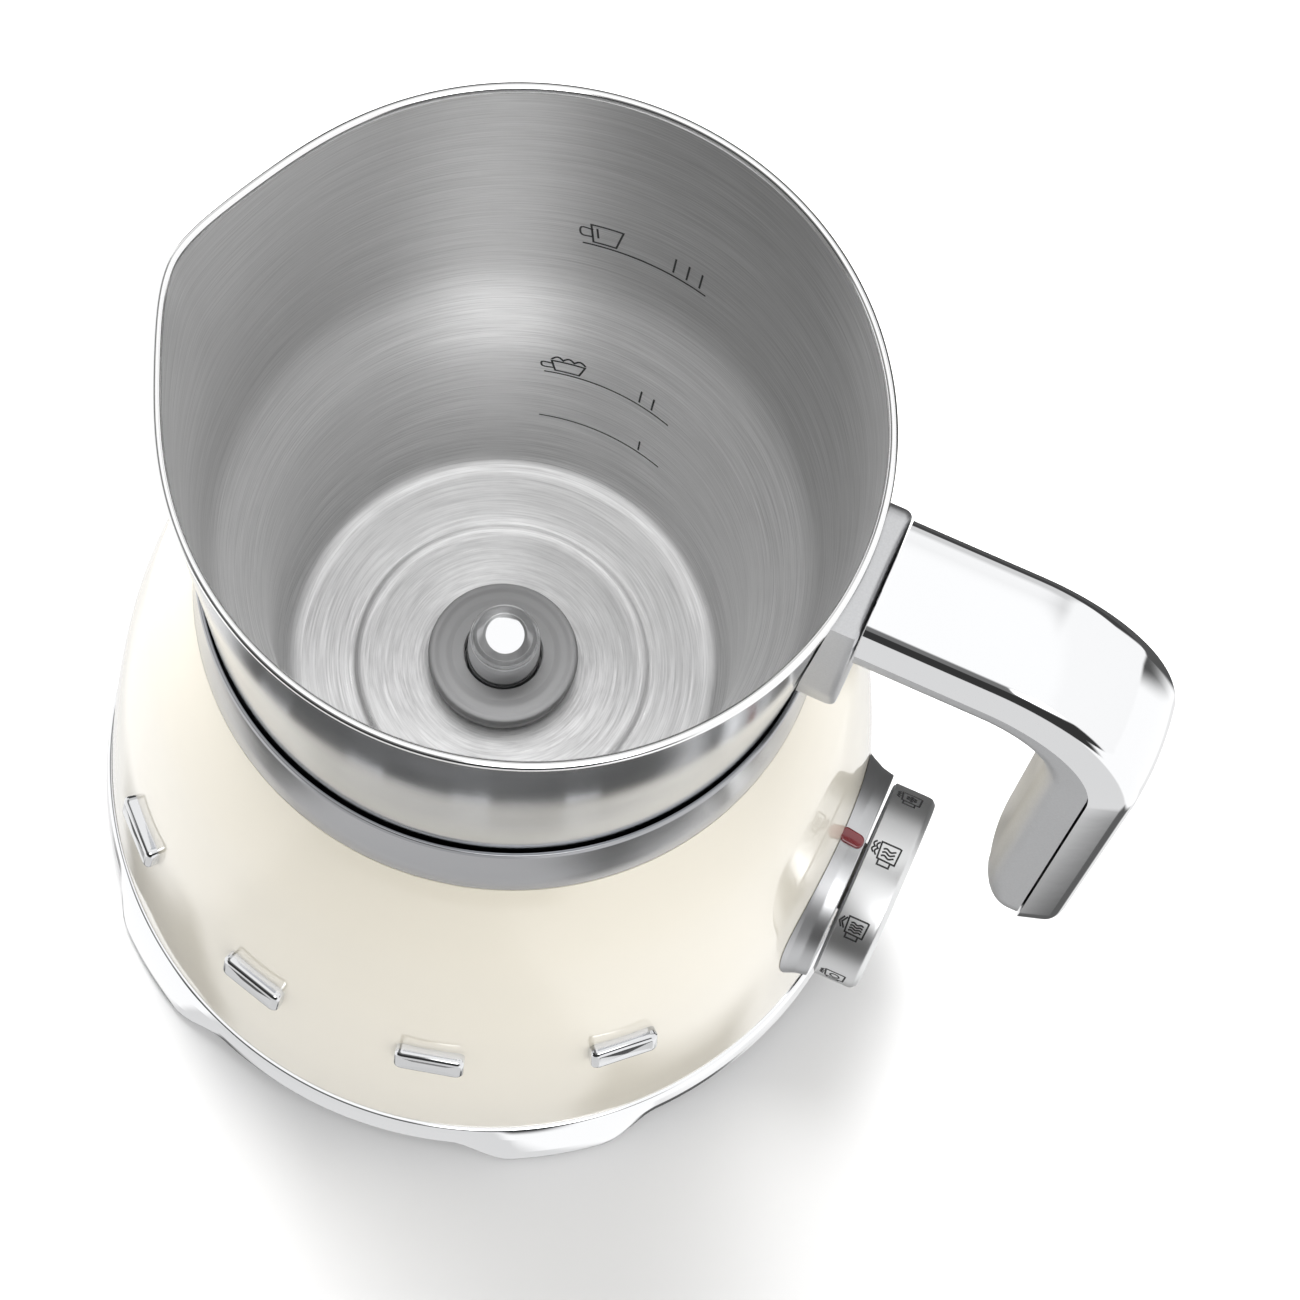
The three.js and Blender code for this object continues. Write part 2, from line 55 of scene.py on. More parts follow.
# ------------------------------------------------------------------ mesh helpers (millimetres in, metres out)
def catmull(points, n=6):
    """A smooth curve through the points (centripetal Catmull-Rom)."""
    p = [np.array(q, float) for q in points]
    p = [2 * p[0] - p[1]] + p + [2 * p[-1] - p[-2]]
    out = []
    for i in range(1, len(p) - 2):
        t0 = 0.0
        t1 = t0 + max(1e-6, np.linalg.norm(p[i] - p[i - 1])) ** 0.5
        t2 = t1 + max(1e-6, np.linalg.norm(p[i + 1] - p[i])) ** 0.5
        t3 = t2 + max(1e-6, np.linalg.norm(p[i + 2] - p[i + 1])) ** 0.5
        for k in range(n):
            t = t1 + (t2 - t1) * k / n
            a1 = (t1 - t) / (t1 - t0) * p[i - 1] + (t - t0) / (t1 - t0) * p[i]
            a2 = (t2 - t) / (t2 - t1) * p[i] + (t - t1) / (t2 - t1) * p[i + 1]
            a3 = (t3 - t) / (t3 - t2) * p[i + 1] + (t - t2) / (t3 - t2) * p[i + 2]
            b1 = (t2 - t) / (t2 - t0) * a1 + (t - t0) / (t2 - t0) * a2
            b2 = (t3 - t) / (t3 - t1) * a2 + (t - t1) / (t3 - t1) * a3
            out.append((t2 - t) / (t2 - t1) * b1 + (t - t1) / (t2 - t1) * b2)
    out.append(p[-2])
    return [tuple(float(c) for c in q) for q in out]


def fillet(points, radius=0.4, n=5, closed=True):
    """Rounds the corners of a polyline of (x, y[, own radius]). Corners on the axis x = 0 stay as they are."""
    out, m = [], len(points)
    for i, pt in enumerate(points):
        p = np.array(pt[:2], float)
        r = pt[2] if len(pt) > 2 else radius
        if (not closed and i in (0, m - 1)) or p[0] < 1e-6 or r <= 0:
            out.append((float(p[0]), float(p[1])))
            continue
        a, b = np.array(points[i - 1][:2], float), np.array(points[(i + 1) % m][:2], float)
        u, v = a - p, b - p
        lu, lv = np.linalg.norm(u), np.linalg.norm(v)
        if lu < 1e-6 or lv < 1e-6:
            continue
        u, v = u / lu, v / lv
        cosang = float(np.clip(np.dot(u, v), -1, 1))
        half = math.acos(cosang) / 2
        if half > math.pi / 2 - 0.03:
            out.append((float(p[0]), float(p[1])))
            continue
        d = min(r / math.tan(half), 0.48 * lu, 0.48 * lv)
        s, e = p + u * d, p + v * d
        for k in range(n + 1):
            t = k / n
            q = (1 - t) ** 2 * s + 2 * t * (1 - t) * p + t * t * e
            out.append((float(q[0]), float(q[1])))
    return out


def revolve(profile, seg=192, shape=None):
    """Turns a closed profile of (r, z) about Z. shape(r, z, angle) may move a point."""
    verts, rings, faces = [], [], []
    for r, z in profile:
        if r < 1e-6:
            verts.append((0.0, 0.0, z))
            rings.append([len(verts) - 1])
            continue
        ids = []
        for j in range(seg):
            a = 2 * math.pi * j / seg
            rr, zz = shape(r, z, a) if shape else (r, z)
            verts.append((rr * math.cos(a), rr * math.sin(a), zz))
            ids.append(len(verts) - 1)
        rings.append(ids)
    for i in range(len(profile)):
        A, B = rings[i], rings[(i + 1) % len(profile)]
        if len(A) == 1 and len(B) == 1:
            continue
        for j in range(seg):
            k = (j + 1) % seg
            if len(A) == 1:
                faces.append((A[0], B[k], B[j]))
            elif len(B) == 1:
                faces.append((A[j], A[k], B[0]))
            else:
                faces.append((A[j], A[k], B[k], B[j]))
    return verts, faces


def loft(rings, caps=True):
    """Joins rings of points with the same count; the ends are closed with a fan."""
    n = len(rings[0])
    verts = [p for r in rings for p in r]
    faces = []
    for i in range(len(rings) - 1):
        for j in range(n):
            k, a, b = (j + 1) % n, i * n, i * n + n
            faces.append((a + j, a + k, b + k, b + j))
    if caps:
        for ring, first in ((rings[0], True), (rings[-1], False)):
            c = tuple(sum(p[i] for p in ring) / n for i in range(3))
            verts.append(c)
            base = 0 if first else (len(rings) - 1) * n
            for j in range(n):
                k = (j + 1) % n
                faces.append((base + k, base + j, len(verts) - 1) if first else (base + j, base + k, len(verts) - 1))
    return verts, faces


def volume(verts, faces):
    v = np.array(verts, float)
    tot = 0.0
    for f in faces:
        for i in range(1, len(f) - 1):
            tot += float(np.dot(v[f[0]], np.cross(v[f[i]], v[f[i + 1]])))
    return tot


def turned(data, matrix):
    """Applies a 4x4 matrix (millimetres) to a (verts, faces) pair."""
    verts, faces = data
    return [tuple(matrix @ Vector(p)) for p in verts], faces


ALONG_X = Matrix(((0, 0, 1, 0), (0, 1, 0, 0), (-1, 0, 0, 0), (0, 0, 0, 1)))


def shift(x, y, z):
    return Matrix.Translation((x, y, z))


def shade(me, angle=32):
    me.polygons.foreach_set("use_smooth", [True] * len(me.polygons))
    me.set_sharp_from_angle(angle=rad(angle))
    me.update()


def make(name, data, mats, body, nodes=(), sharp=32, pick=None, flip=True):
    """One shown piece from (verts, faces) in millimetres. pick(centre, normal) chooses a material slot."""
    verts, faces = data
    if flip and volume(verts, faces) < 0:
        faces = [tuple(reversed(f)) for f in faces]
    me = bpy.data.meshes.new(name)
    me.from_pydata([(x * MM, y * MM, z * MM) for x, y, z in verts], [], faces)
    me.validate()
    mats = mats if isinstance(mats, (list, tuple)) else [mats]
    for m in mats:
        me.materials.append(m)
    shade(me, sharp)
    if pick:
        for p in me.polygons:
            p.material_index = pick(p.center / MM, p.normal)
    ob = bpy.data.objects.new(name, me)
    bpy.context.scene.collection.objects.link(ob)
    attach(ob, body)
    if nodes:
        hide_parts(*nodes)
    return ob


def carve(ob, cutters, sharp=32):
    """Cuts (verts, faces) bodies, in millimetres, out of a piece and keeps the result as plain mesh."""
    temps = []
    for i, (verts, faces) in enumerate(cutters):
        if volume(verts, faces) < 0:
            faces = [tuple(reversed(f)) for f in faces]
        me = bpy.data.meshes.new(f"cutter_{i}")
        me.from_pydata([(x * MM, y * MM, z * MM) for x, y, z in verts], [], faces)
        me.materials.append(ob.data.materials[0])
        t = bpy.data.objects.new(f"cutter_{i}", me)
        bpy.context.scene.collection.objects.link(t)
        m = ob.modifiers.new(f"cut_{i}", "BOOLEAN")
        m.operation, m.solver, m.object = "DIFFERENCE", "EXACT", t
        temps.append(t)
    bpy.context.view_layer.update()
    dg = bpy.context.evaluated_depsgraph_get()
    me = bpy.data.meshes.new_from_object(ob.evaluated_get(dg))
    ob.modifiers.clear()
    ob.data = me
    shade(me, sharp)
    for t in temps:
        bpy.data.objects.remove(t)
    return ob


def strokes(paths, place, width=0.35, lift=0.05, sink=0.06, step=0.8):
    """Thin raised strokes laid on a surface. place(u, v, h) gives the point at height h above it."""
    verts, faces = [], []
    for path, closed in paths:
        pts = [np.array(p, float) for p in path]
        ring = pts + [pts[0]] if closed else pts
        fine = []
        for a, b in zip(ring[:-1], ring[1:]):
            n = max(1, int(math.ceil(float(np.linalg.norm(b - a)) / step)))
            fine += [a + (b - a) * i / n for i in range(n)]
        if not closed:
            fine.append(ring[-1])
        m, base = len(fine), len(verts)
        for i, p in enumerate(fine):
            a = fine[i - 1] if (i > 0 or closed) else None
            b = fine[(i + 1) % m] if (i < m - 1 or closed) else None
            d1 = (p - a) if a is not None else (b - p)
            d2 = (b - p) if b is not None else (p - a)
            d1, d2 = d1 / (np.linalg.norm(d1) + 1e-9), d2 / (np.linalg.norm(d2) + 1e-9)
            t = d1 + d2
            t = t / (np.linalg.norm(t) + 1e-9) if np.linalg.norm(t) > 1e-6 else d1
            nrm = np.array([-t[1], t[0]])
            mitre = min(2.0, 1 / max(0.3, float(np.dot(nrm, [-d1[1], d1[0]]))))
            l, r = p + nrm * width / 2 * mitre, p - nrm * width / 2 * mitre
            if not closed and i in (0, m - 1):
                ext = t * width * 0.3 * (-1 if i == 0 else 1)
                l, r = l + ext, r + ext
            for q, h in ((l, lift), (r, lift), (r, -sink), (l, -sink)):
                verts.append(tuple(place(q[0], q[1], h)))
        for i in range(m if closed else m - 1):
            a, b = base + 4 * i, base + 4 * ((i + 1) % m)
            for k in range(4):
                kk = (k + 1) % 4
                faces.append((a + k, b + k, b + kk, a + kk))
        if not closed:
            e = base + 4 * (m - 1)
            faces.append((base, base + 1, base + 2, base + 3))
            faces.append((e + 3, e + 2, e + 1, e))
    return verts, faces


# ------------------------------------------------------------------ materials
class Nodes:
    """A small builder for one material's node tree."""

    def __init__(self, name, color=(0.8, 0.8, 0.8), metallic=0.0, roughness=0.4, **sockets):
        self.mat = bpy.data.materials.new(name)
        self.mat.use_nodes = True
        self.t = self.mat.node_tree
        self.b = self.t.nodes["Principled BSDF"]
        self.b.inputs["Base Color"].default_value = (*color, 1)
        self.b.inputs["Metallic"].default_value = metallic
        self.b.inputs["Roughness"].default_value = roughness
        for k, v in sockets.items():
            self.b.inputs[k.replace("_", " ")].default_value = v
        self.mat.diffuse_color = (*color, 1)

    def node(self, kind, **kw):
        n = self.t.nodes.new(kind)
        for k, v in kw.items():
            setattr(n, k, v)
        return n

    def link(self, a, b):
        self.t.links.new(a, b)

    def coords(self):
        return self.node("ShaderNodeTexCoord").outputs["Object"]

    def math(self, op, a, b=None, clamp=False):
        n = self.node("ShaderNodeMath", operation=op, use_clamp=clamp)
        for i, v in enumerate((a, b)):
            if v is None:
                continue
            if isinstance(v, (int, float)):
                n.inputs[i].default_value = v
            else:
                self.link(v, n.inputs[i])
        return n.outputs[0]

    def noise(self, vector, scale=1.0, detail=3.0, rough=0.55):
        n = self.node("ShaderNodeTexNoise")
        n.inputs["Scale"].default_value = scale
        n.inputs["Detail"].default_value = detail
        n.inputs["Roughness"].default_value = rough
        self.link(vector, n.inputs["Vector"])
        return n.outputs["Fac"]

    def ramp(self, fac, stops):
        n = self.node("ShaderNodeValToRGB")
        e = n.color_ramp.elements
        while len(e) < len(stops):
            e.new(0.5)
        for el, (p, c) in zip(e, stops):
            el.position = p
            el.color = (*c, 1) if isinstance(c, tuple) else (c, c, c, 1)
        self.link(fac, n.inputs["Fac"])
        return n.outputs["Color"]

    def span(self, fac, lo, hi, a=0.3, b=0.7):
        n = self.node("ShaderNodeMapRange")
        n.inputs["From Min"].default_value, n.inputs["From Max"].default_value = a, b
        n.inputs["To Min"].default_value, n.inputs["To Max"].default_value = lo, hi
        self.link(fac, n.inputs["Value"])
        return n.outputs["Result"]

    def bump(self, height, strength=0.2, distance=0.0001, previous=None):
        n = self.node("ShaderNodeBump")
        n.inputs["Strength"].default_value = strength
        n.inputs["Distance"].default_value = distance
        self.link(height, n.inputs["Height"])
        if previous is not None:
            self.link(previous, n.inputs["Normal"])
        return n.outputs["Normal"]

    def circular(self, along, across, centre=(0, 0)):
        """Coordinates that run slowly round the Z axis and fast across it, for brushing left by spinning."""
        sep = self.node("ShaderNodeSeparateXYZ")
        self.link(self.coords(), sep.inputs[0])
        x = self.math("SUBTRACT", sep.outputs[0], centre[0] * MM)
        y = self.math("SUBTRACT", sep.outputs[1], centre[1] * MM)
        r = self.math("SQRT", self.math("ADD", self.math("MULTIPLY", x, x), self.math("MULTIPLY", y, y)))
        r = self.math("MAXIMUM", r, 1e-4)
        s = self.math("ADD", sep.outputs[2], r)
        comb = self.node("ShaderNodeCombineXYZ")
        self.link(self.math("MULTIPLY", self.math("DIVIDE", x, r), along), comb.inputs[0])
        self.link(self.math("MULTIPLY", self.math("DIVIDE", y, r), along), comb.inputs[1])
        self.link(self.math("MULTIPLY", s, across), comb.inputs[2])
        return comb.outputs[0]

    def stretched(self, sx, sy, sz):
        m = self.node("ShaderNodeMapping")
        m.inputs["Scale"].default_value = (sx, sy, sz)
        self.link(self.coords(), m.inputs["Vector"])
        return m.outputs[0]

    def out(self, socket, value):
        self.link(value, self.b.inputs[socket])


def brushed_inside(name, low=0.70, high=1.0, rough=(0.46, 0.60), aniso=0.92):
    """Spun and brushed stainless steel: long fine scratches round the axis, with painted shade darkening the upper
    wall.
    """
    m = Nodes(name, (0.7, 0.7, 0.7), 1.0, 0.3, Anisotropic=aniso, Anisotropic_Rotation=0.25)
    tan = m.node("ShaderNodeTangent", direction_type="RADIAL", axis="Z")
    m.link(tan.outputs[0], m.b.inputs["Tangent"])
    fine = m.noise(m.circular(2.2, 3300), 1.0, 3.0, 0.6)
    band = m.noise(m.circular(1.1, 420), 1.0, 4.0, 0.6)
    patch = m.noise(m.circular(0.9, 45), 1.0, 2.0, 0.5)
    long = m.noise(m.circular(5.5, 1500), 1.0, 5.0, 0.7)
    mixed = m.math("ADD", m.math("MULTIPLY", fine, 0.56), m.math("MULTIPLY", band, 0.14))
    mixed = m.math("ADD", mixed, m.math("MULTIPLY", long, 0.22))
    mixed = m.math("ADD", mixed, m.math("MULTIPLY", patch, 0.08))
    # Painted shade: the straight upper wall is given a darker, duller colour than the shoulder and the floor below it.
    sep = m.node("ShaderNodeSeparateXYZ")
    m.link(m.coords(), sep.inputs[0])
    # tone is the painted shade factor: 1.0 below 0.122 m, falling to 0.70 above 0.134 m.
    tone = m.node("ShaderNodeMapRange", interpolation_type="SMOOTHSTEP")
    for k, v in (("From Min", 0.122), ("From Max", 0.134), ("To Min", 1.0), ("To Max", 0.70)):
        tone.inputs[k].default_value = v
    m.link(sep.outputs[2], tone.inputs["Value"])
    grey = m.ramp(mixed, [(0.36, low), (0.5, (low + high) / 2), (0.64, high)])
    painted_wall_shade_mix = m.node("ShaderNodeMix", data_type="RGBA", blend_type="MULTIPLY")
    painted_wall_shade_mix.inputs[0].default_value = 1.0
    m.link(grey, painted_wall_shade_mix.inputs[6])
    m.link(tone.outputs["Result"], painted_wall_shade_mix.inputs[7])
    m.out("Base Color", painted_wall_shade_mix.outputs[2])
    m.out("Roughness", m.span(mixed, rough[1], rough[0], 0.36, 0.64))
    m.out("Normal", m.bump(mixed, 0.34, 0.00006))
    return m.mat


def polished(name, color=(0.84, 0.845, 0.85), rough=(0.05, 0.1), smudge=22.0, brush=0.0, aniso=0.0):
    """Plated or mirror-polished metal with faint wipe marks."""
    m = Nodes(name, color, 1.0, rough[0], Anisotropic=aniso)
    wipe = m.noise(m.coords(), smudge, 4.0, 0.6)
    m.out("Roughness", m.span(wipe, *rough, 0.35, 0.68))
    tone = m.noise(m.coords(), smudge * 0.6, 2.0)
    m.out("Base Color", m.ramp(tone, [(0.3, tuple(c * 0.975 for c in color)), (0.7, color)]))
    if brush:
        lines = m.noise(m.circular(1.8, 2600), 1.0, 3.0, 0.6)
        m.out("Normal", m.bump(lines, brush, 0.00004))
    else:
        m.out("Normal", m.bump(m.noise(m.coords(), 260.0, 2.0), 0.012, 0.0002))
    return m.mat


def grained_metal(name, color, rough=(0.32, 0.46), grain=2600.0, strength=0.12, metallic=1.0):
    """Satin or bead-blasted metal: a fine even grain."""
    m = Nodes(name, color, metallic, rough[0])
    g = m.noise(m.coords(), grain, 3.0, 0.6)
    cloud = m.noise(m.coords(), 60.0, 3.0)
    m.out("Base Color", m.ramp(m.math("ADD", m.math("MULTIPLY", g, 0.6), m.math("MULTIPLY", cloud, 0.4)),
                               [(0.35, tuple(c * 0.93 for c in color)), (0.65, tuple(min(1, c * 1.05) for c in color))]))
    m.out("Roughness", m.span(cloud, *rough))
    m.out("Normal", m.bump(g, strength, 0.00005))
    return m.mat


def moulded(name, color, rough=(0.38, 0.5), grain=1400.0, strength=0.1, vary=0.06, **sockets):
    """Moulded plastic or rubber with a spark-eroded grain."""
    m = Nodes(name, color, 0.0, rough[0], **sockets)
    g = m.noise(m.coords(), grain, 2.0, 0.6)
    cloud = m.noise(m.coords(), 45.0, 4.0)
    m.out("Base Color", m.ramp(cloud, [(0.3, tuple(c * (1 - vary) for c in color)), (0.7, tuple(min(1, c * (1 + vary)) for c in color))]))
    m.out("Roughness", m.span(cloud, *rough))
    m.out("Normal", m.bump(g, strength, 0.00008))
    return m.mat


def glossy_cream(name):
    """Lacquered housing: a faint orange-peel under a clear coat."""
    m = Nodes(name, (0.79, 0.74, 0.625), 0.0, 0.34, Coat_Weight=1.0, Coat_Roughness=0.025, Coat_IOR=1.5, IOR=1.46)
    cloud = m.noise(m.coords(), 14.0, 4.0, 0.5)
    m.out("Base Color", m.ramp(cloud, [(0.3, (0.784, 0.733, 0.614)), (0.7, (0.80, 0.75, 0.635))]))
    peel = m.noise(m.coords(), 420.0, 2.0, 0.5)
    fine = m.noise(m.coords(), 2400.0, 1.0, 0.5)
    m.out("Normal", m.bump(m.math("ADD", peel, m.math("MULTIPLY", fine, 0.15)), 0.035, 0.0002))
    m.out("Roughness", m.span(cloud, 0.3, 0.38))
    return m.mat


def wound_copper(name):
    m = Nodes(name, (0.72, 0.33, 0.15), 1.0, 0.28)
    n = m.noise(m.coords(), 900.0, 3.0)
    m.out("Base Color", m.ramp(n, [(0.3, (0.56, 0.23, 0.09)), (0.7, (0.78, 0.38, 0.18))]))
    m.out("Roughness", m.span(n, 0.22, 0.4))
    m.out("Normal", m.bump(n, 0.1, 0.00005))
    return m.mat


def laminate(name):
    """Green circuit laminate: solder mask with faint copper tracks under it."""
    m = Nodes(name, (0.02, 0.13, 0.05), 0.0, 0.32, Coat_Weight=0.4, Coat_Roughness=0.15)
    br = m.node("ShaderNodeTexBrick")
    br.inputs["Scale"].default_value = 160.0
    br.inputs["Mortar Size"].default_value = 0.06
    br.inputs["Color1"].default_value = (0.016, 0.11, 0.045, 1)
    br.inputs["Color2"].default_value = (0.022, 0.15, 0.055, 1)
    br.inputs["Mortar"].default_value = (0.05, 0.24, 0.08, 1)
    m.link(m.coords(), br.inputs["Vector"])
    m.out("Base Color", br.outputs["Color"])
    m.out("Normal", m.bump(br.outputs["Fac"], 0.15, 0.0001))
    m.out("Roughness", m.span(m.noise(m.coords(), 300.0), 0.28, 0.42))
    return m.mat


MAT = {
    "steel_inside": brushed_inside("spun_steel_inside"),
    "steel_floor": brushed_inside("turned_steel_floor", 0.74, 1.0, (0.27, 0.42), 0.8),
    # Painted shade and reflection: the outer steel's colour is kept dark, about 0.5, and tinted blue so its reflections
    # of the cream housing read as neutral grey shade.
    "steel_outside": polished("polished_steel_outside", (0.49, 0.505, 0.535), (0.1, 0.17), 18.0, brush=0.05, aniso=0.4),
    "rim": polished("polished_rim", (0.9, 0.9, 0.9), (0.08, 0.14)),
    "chrome": polished("bright_chrome", (0.86, 0.865, 0.875), (0.035, 0.075)),
    "collar": polished("collar_polish", (0.38, 0.385, 0.40), (0.14, 0.22), 20.0, brush=0.06, aniso=0.3),
    "knob": polished("knob_polish", (0.78, 0.785, 0.79), (0.36, 0.44), 30.0, brush=0.05),
    "surround": polished("surround_polish", (0.60, 0.605, 0.615), (0.32, 0.40), 26.0),
    "trim": polished("trim_chrome", (0.72, 0.725, 0.735), (0.06, 0.11), 40.0),
    "satin": grained_metal("satin_grey_metal", (0.60, 0.605, 0.615), (0.32, 0.44)),
    "cap": grained_metal("satin_cap", (0.66, 0.665, 0.67), (0.24, 0.34), 3200.0, 0.08),
    "cream": glossy_cream("cream_lacquer"),
    "black": moulded("black_moulding", (0.022, 0.022, 0.024), (0.4, 0.55), 1800.0, 0.18),
    "rubber": moulded("black_rubber", (0.03, 0.03, 0.031), (0.68, 0.82), 900.0, 0.3, 0.12),
    "grey": moulded("grey_moulding", (0.31, 0.31, 0.313), (0.36, 0.48), 2400.0, 0.08, 0.04),
    # Painted shade: a near-black colour for the shaded gap round the pin; no piece uses it.
    "gap": moulded("painted_gap_shade", (0.05, 0.05, 0.052), (0.45, 0.6), 2000.0, 0.1),
    "red": moulded("dark_red_lens", (0.11, 0.004, 0.008), (0.2, 0.27), 700.0, 0.02, 0.1, Coat_Weight=1.0, Coat_Roughness=0.03),
    "copper": wound_copper("enamelled_copper"),
    "zinc": grained_metal("zinc_plate", (0.62, 0.63, 0.645), (0.26, 0.4), 1500.0, 0.1),
    "ferrite": moulded("sintered_ferrite", (0.045, 0.042, 0.04), (0.62, 0.75), 1200.0, 0.4, 0.15),
    "board": laminate("circuit_laminate"),
    "white": moulded("white_nylon", (0.74, 0.73, 0.69), (0.34, 0.46), 1300.0, 0.08, 0.03),
    "ink": moulded("black_marking", (0.012, 0.012, 0.013), (0.5, 0.6), 2600.0, 0.1),
}


def dress(node, mat):
    ob = NODES[node]
    ob.data.materials.clear()
    ob.data.materials.append(MAT[mat])


SLOT_LOOK = {"steel": "steel_outside", "chrome": "chrome", "satin": "satin", "cream": "cream", "black": "black", "rubber": "rubber",
             "grey": "grey", "red": "red", "copper": "copper", "zinc": "zinc", "ferrite": "ferrite", "board": "board", "white": "white"}
for sp in frame["record"]["subparts"]:
    if sp["node"] in NODES:
        dress(sp["node"], SLOT_LOOK[sp["material_slot"]])

# ------------------------------------------------------------------ jug
RIM_Z = 186.5


def spout(a, z):
    d = abs(math.atan2(math.sin(a - math.pi), math.cos(a - math.pi)))
    width = rad(6 + 8 * smooth(150, RIM_Z, z))
    return 4.0 * math.exp(-((d / width) ** 1.7)) * smooth(148, RIM_Z, z)


inner = catmull([(55.62, 184.9), (54.6, 166), (53.35, 151), (52.35, 140.5), (51.1, 132), (49.3, 125.3), (46.9, 120.3), (44.6, 116.6),
                 (43.1, 113.9), (42.4, 110.8), (41.95, 102), (41.5, 88), (41.25, 78.5), (40.75, 74.3), (39.5, 71.8), (37.4, 70.7),
                 (34.5, 70.35), (28.2, 70.0), (27.1, 69.85), (26.3, 69.45), (25.5, 69.22), (22, 69.2), (14, 69.2), (6.4, 69.2)], 5)
outer = catmull([(6.4, 68.4), (15, 68.4), (24.9, 68.4), (25.9, 68.65), (26.9, 69.05), (36.9, 69.75), (39.9, 70.8), (41.6, 73.9), (42.15, 79),
                 (42.4, 88), (42.85, 102), (43.2, 112.4), (44.1, 114.9), (46.6, 116.6), (50.2, 119.0), (51.95, 123.4), (52.5, 128.4),
                 (52.95, 134), (54.1, 150), (55.4, 166), (56.3, 180.5), (56.55, 184.2)], 5)
bead = [(56.3 + 0.78 * math.cos(rad(t)), 185.68 + 0.8 * math.sin(rad(t))) for t in (-48, -25, 0, 25, 50, 75, 100, 125, 150, 175, 200)]
jug_profile = inner + outer + bead
jug_in_r = sorted([(z, r) for r, z in inner if r > 39.6], key=lambda q: q[0])


def inside_r(z):
    return float(np.interp(z, [q[0] for q in jug_in_r], [q[1] for q in jug_in_r]))


def jug_face(c, n):
    r = math.hypot(c[0], c[1])
    if c[2] > 184.75:
        return 2
    radial = (n[0] * c[0] + n[1] * c[1]) / max(r, 1e-6)
    if r > 30 and c[2] > 71.5:
        return 0 if radial < 0 else 1
    return 3 if n[2] > 0 else 1


make("jug_shell", revolve(jug_profile, 288, lambda r, z, a: (r + spout(a, z), z)), [MAT["steel_inside"], MAT["steel_outside"], MAT["rim"], MAT["steel_floor"]],
     "jug", ["jug_body"], 40, jug_face)

pin = fillet([(0, 68.4), (5.9, 68.4, 0.2), (5.9, 69.7, 0.1), (6.75, 69.7, 0.3), (6.72, 76.0, 0), (6.35, 83.0, 1.2), (6.05, 83.5, 0.3), (5.85, 84.3, 0.4),
              (5.25, 85.1, 0.9), (3.6, 85.85, 2.5), (0, 86.1)], 0.3, 6, closed=False)
make("pivot_post", revolve(pin, 96), MAT["chrome"], "jug", ["pivot_pin"], 50,)

bush = fillet([(7.0, 70.2), (8.3, 70.2), (8.3, 71.0), (7.9, 71.25), (7.9, 74.3), (7.0, 74.3)], 0.15, 3)
make("bush_sleeve", revolve(bush, 96), MAT["grey"], "bush", ["disc_bush"])
disc = fillet([(8.15, 71.6, 0.2), (8.15, 74.6, 0.1), (7.15, 74.6, 0.1), (7.15, 75.4, 0.25), (9.3, 75.1, 0.8), (10.4, 74.6, 1.5), (11.6, 74.65, 1.6), (12.5, 75.15, 0.9), (13.25, 75.0, 0.6),
               (13.65, 73.9, 0.8), (13.5, 71.9, 0.3), (13.25, 71.5, 0.2), (13.1, 70.9, 0.2), (12.2, 70.7, 0.3), (9.0, 70.7, 0.3), (8.7, 71.3, 0.2)], 0.4, 5)
make("stirrer_disc", revolve(disc, 144), MAT["grey"], "disc", ["stirring_disc"])

# ------------------------------------------------------------------ level marks inside the jug
# u runs along the wall (mm at the wall's radius, + towards smaller azimuth, i.e. to the viewer's right), v is height.


def on_wall(z0, az0):
    def place(u, v, h):
        z = z0 + v
        r = inside_r(z) - h
        a = rad(az0) - u / inside_r(z0)
        return (r * math.cos(a), r * math.sin(a), z)
    return place


def cup(u, v, w, h, froth=False):
    """A plain tapered cup with a loop handle, drawn in outline; froth adds a lumpy top."""
    t = 0.14 * w
    body = [(u, v + h), (u + w, v + h), (u + w - t, v), (u + t, v)]
    out = [(body, True)]
    loop = [(u + t * 0.45, v + h * 0.72), (u - 0.28 * w, v + h * 0.74), (u - 0.24 * w, v + h * 0.3), (u + t * 0.8, v + h * 0.28)]
    out.append((catmull(loop, 4), False))
    if froth:
        n = 18
        out.append(([(u + w * i / n, v + h + 0.55 + 0.75 * abs(math.sin(3 * math.pi * i / n))) for i in range(n + 1)], False))
    else:
        out.append(([(u + 0.2 * w, v + h * 0.8), (u + 0.2 * w + t * 0.5, v + h * 0.3)], False))
    return out


def tally(u, v, count, h, gap):
    return [([(u + i * gap, v), (u + i * gap, v + h)], False) for i in range(count)]


def level(z0, az_left, az_right, body_paths, width):
    r = inside_r(z0)
    length = rad(az_left - az_right) * r
    line = [([(0, 0), (length, 0)], False)]
    return strokes(line + body_paths(length), on_wall(z0, az_left), width, 0.05, 0.08, 0.7)


make("mark_full", level(140.3, 102, 77, lambda L: cup(0.9, 0.9, 5.6, 5.2) + tally(L - 6.6, 1.1, 3, 4.2, 2.6), 0.36), MAT["ink"], "jug", ())
make("mark_froth", level(107.2, 106, 73, lambda L: cup(1.0, 1.0, 6.0, 3.2, True) + tally(L - 6.4, 1.1, 2, 3.7, 2.6), 0.36), MAT["ink"], "jug", ())
make("mark_least", level(88.8, 106, 73, lambda L: tally(L - 4.6, 1.0, 1, 3.6, 2.6), 0.34), MAT["ink"], "jug", ())

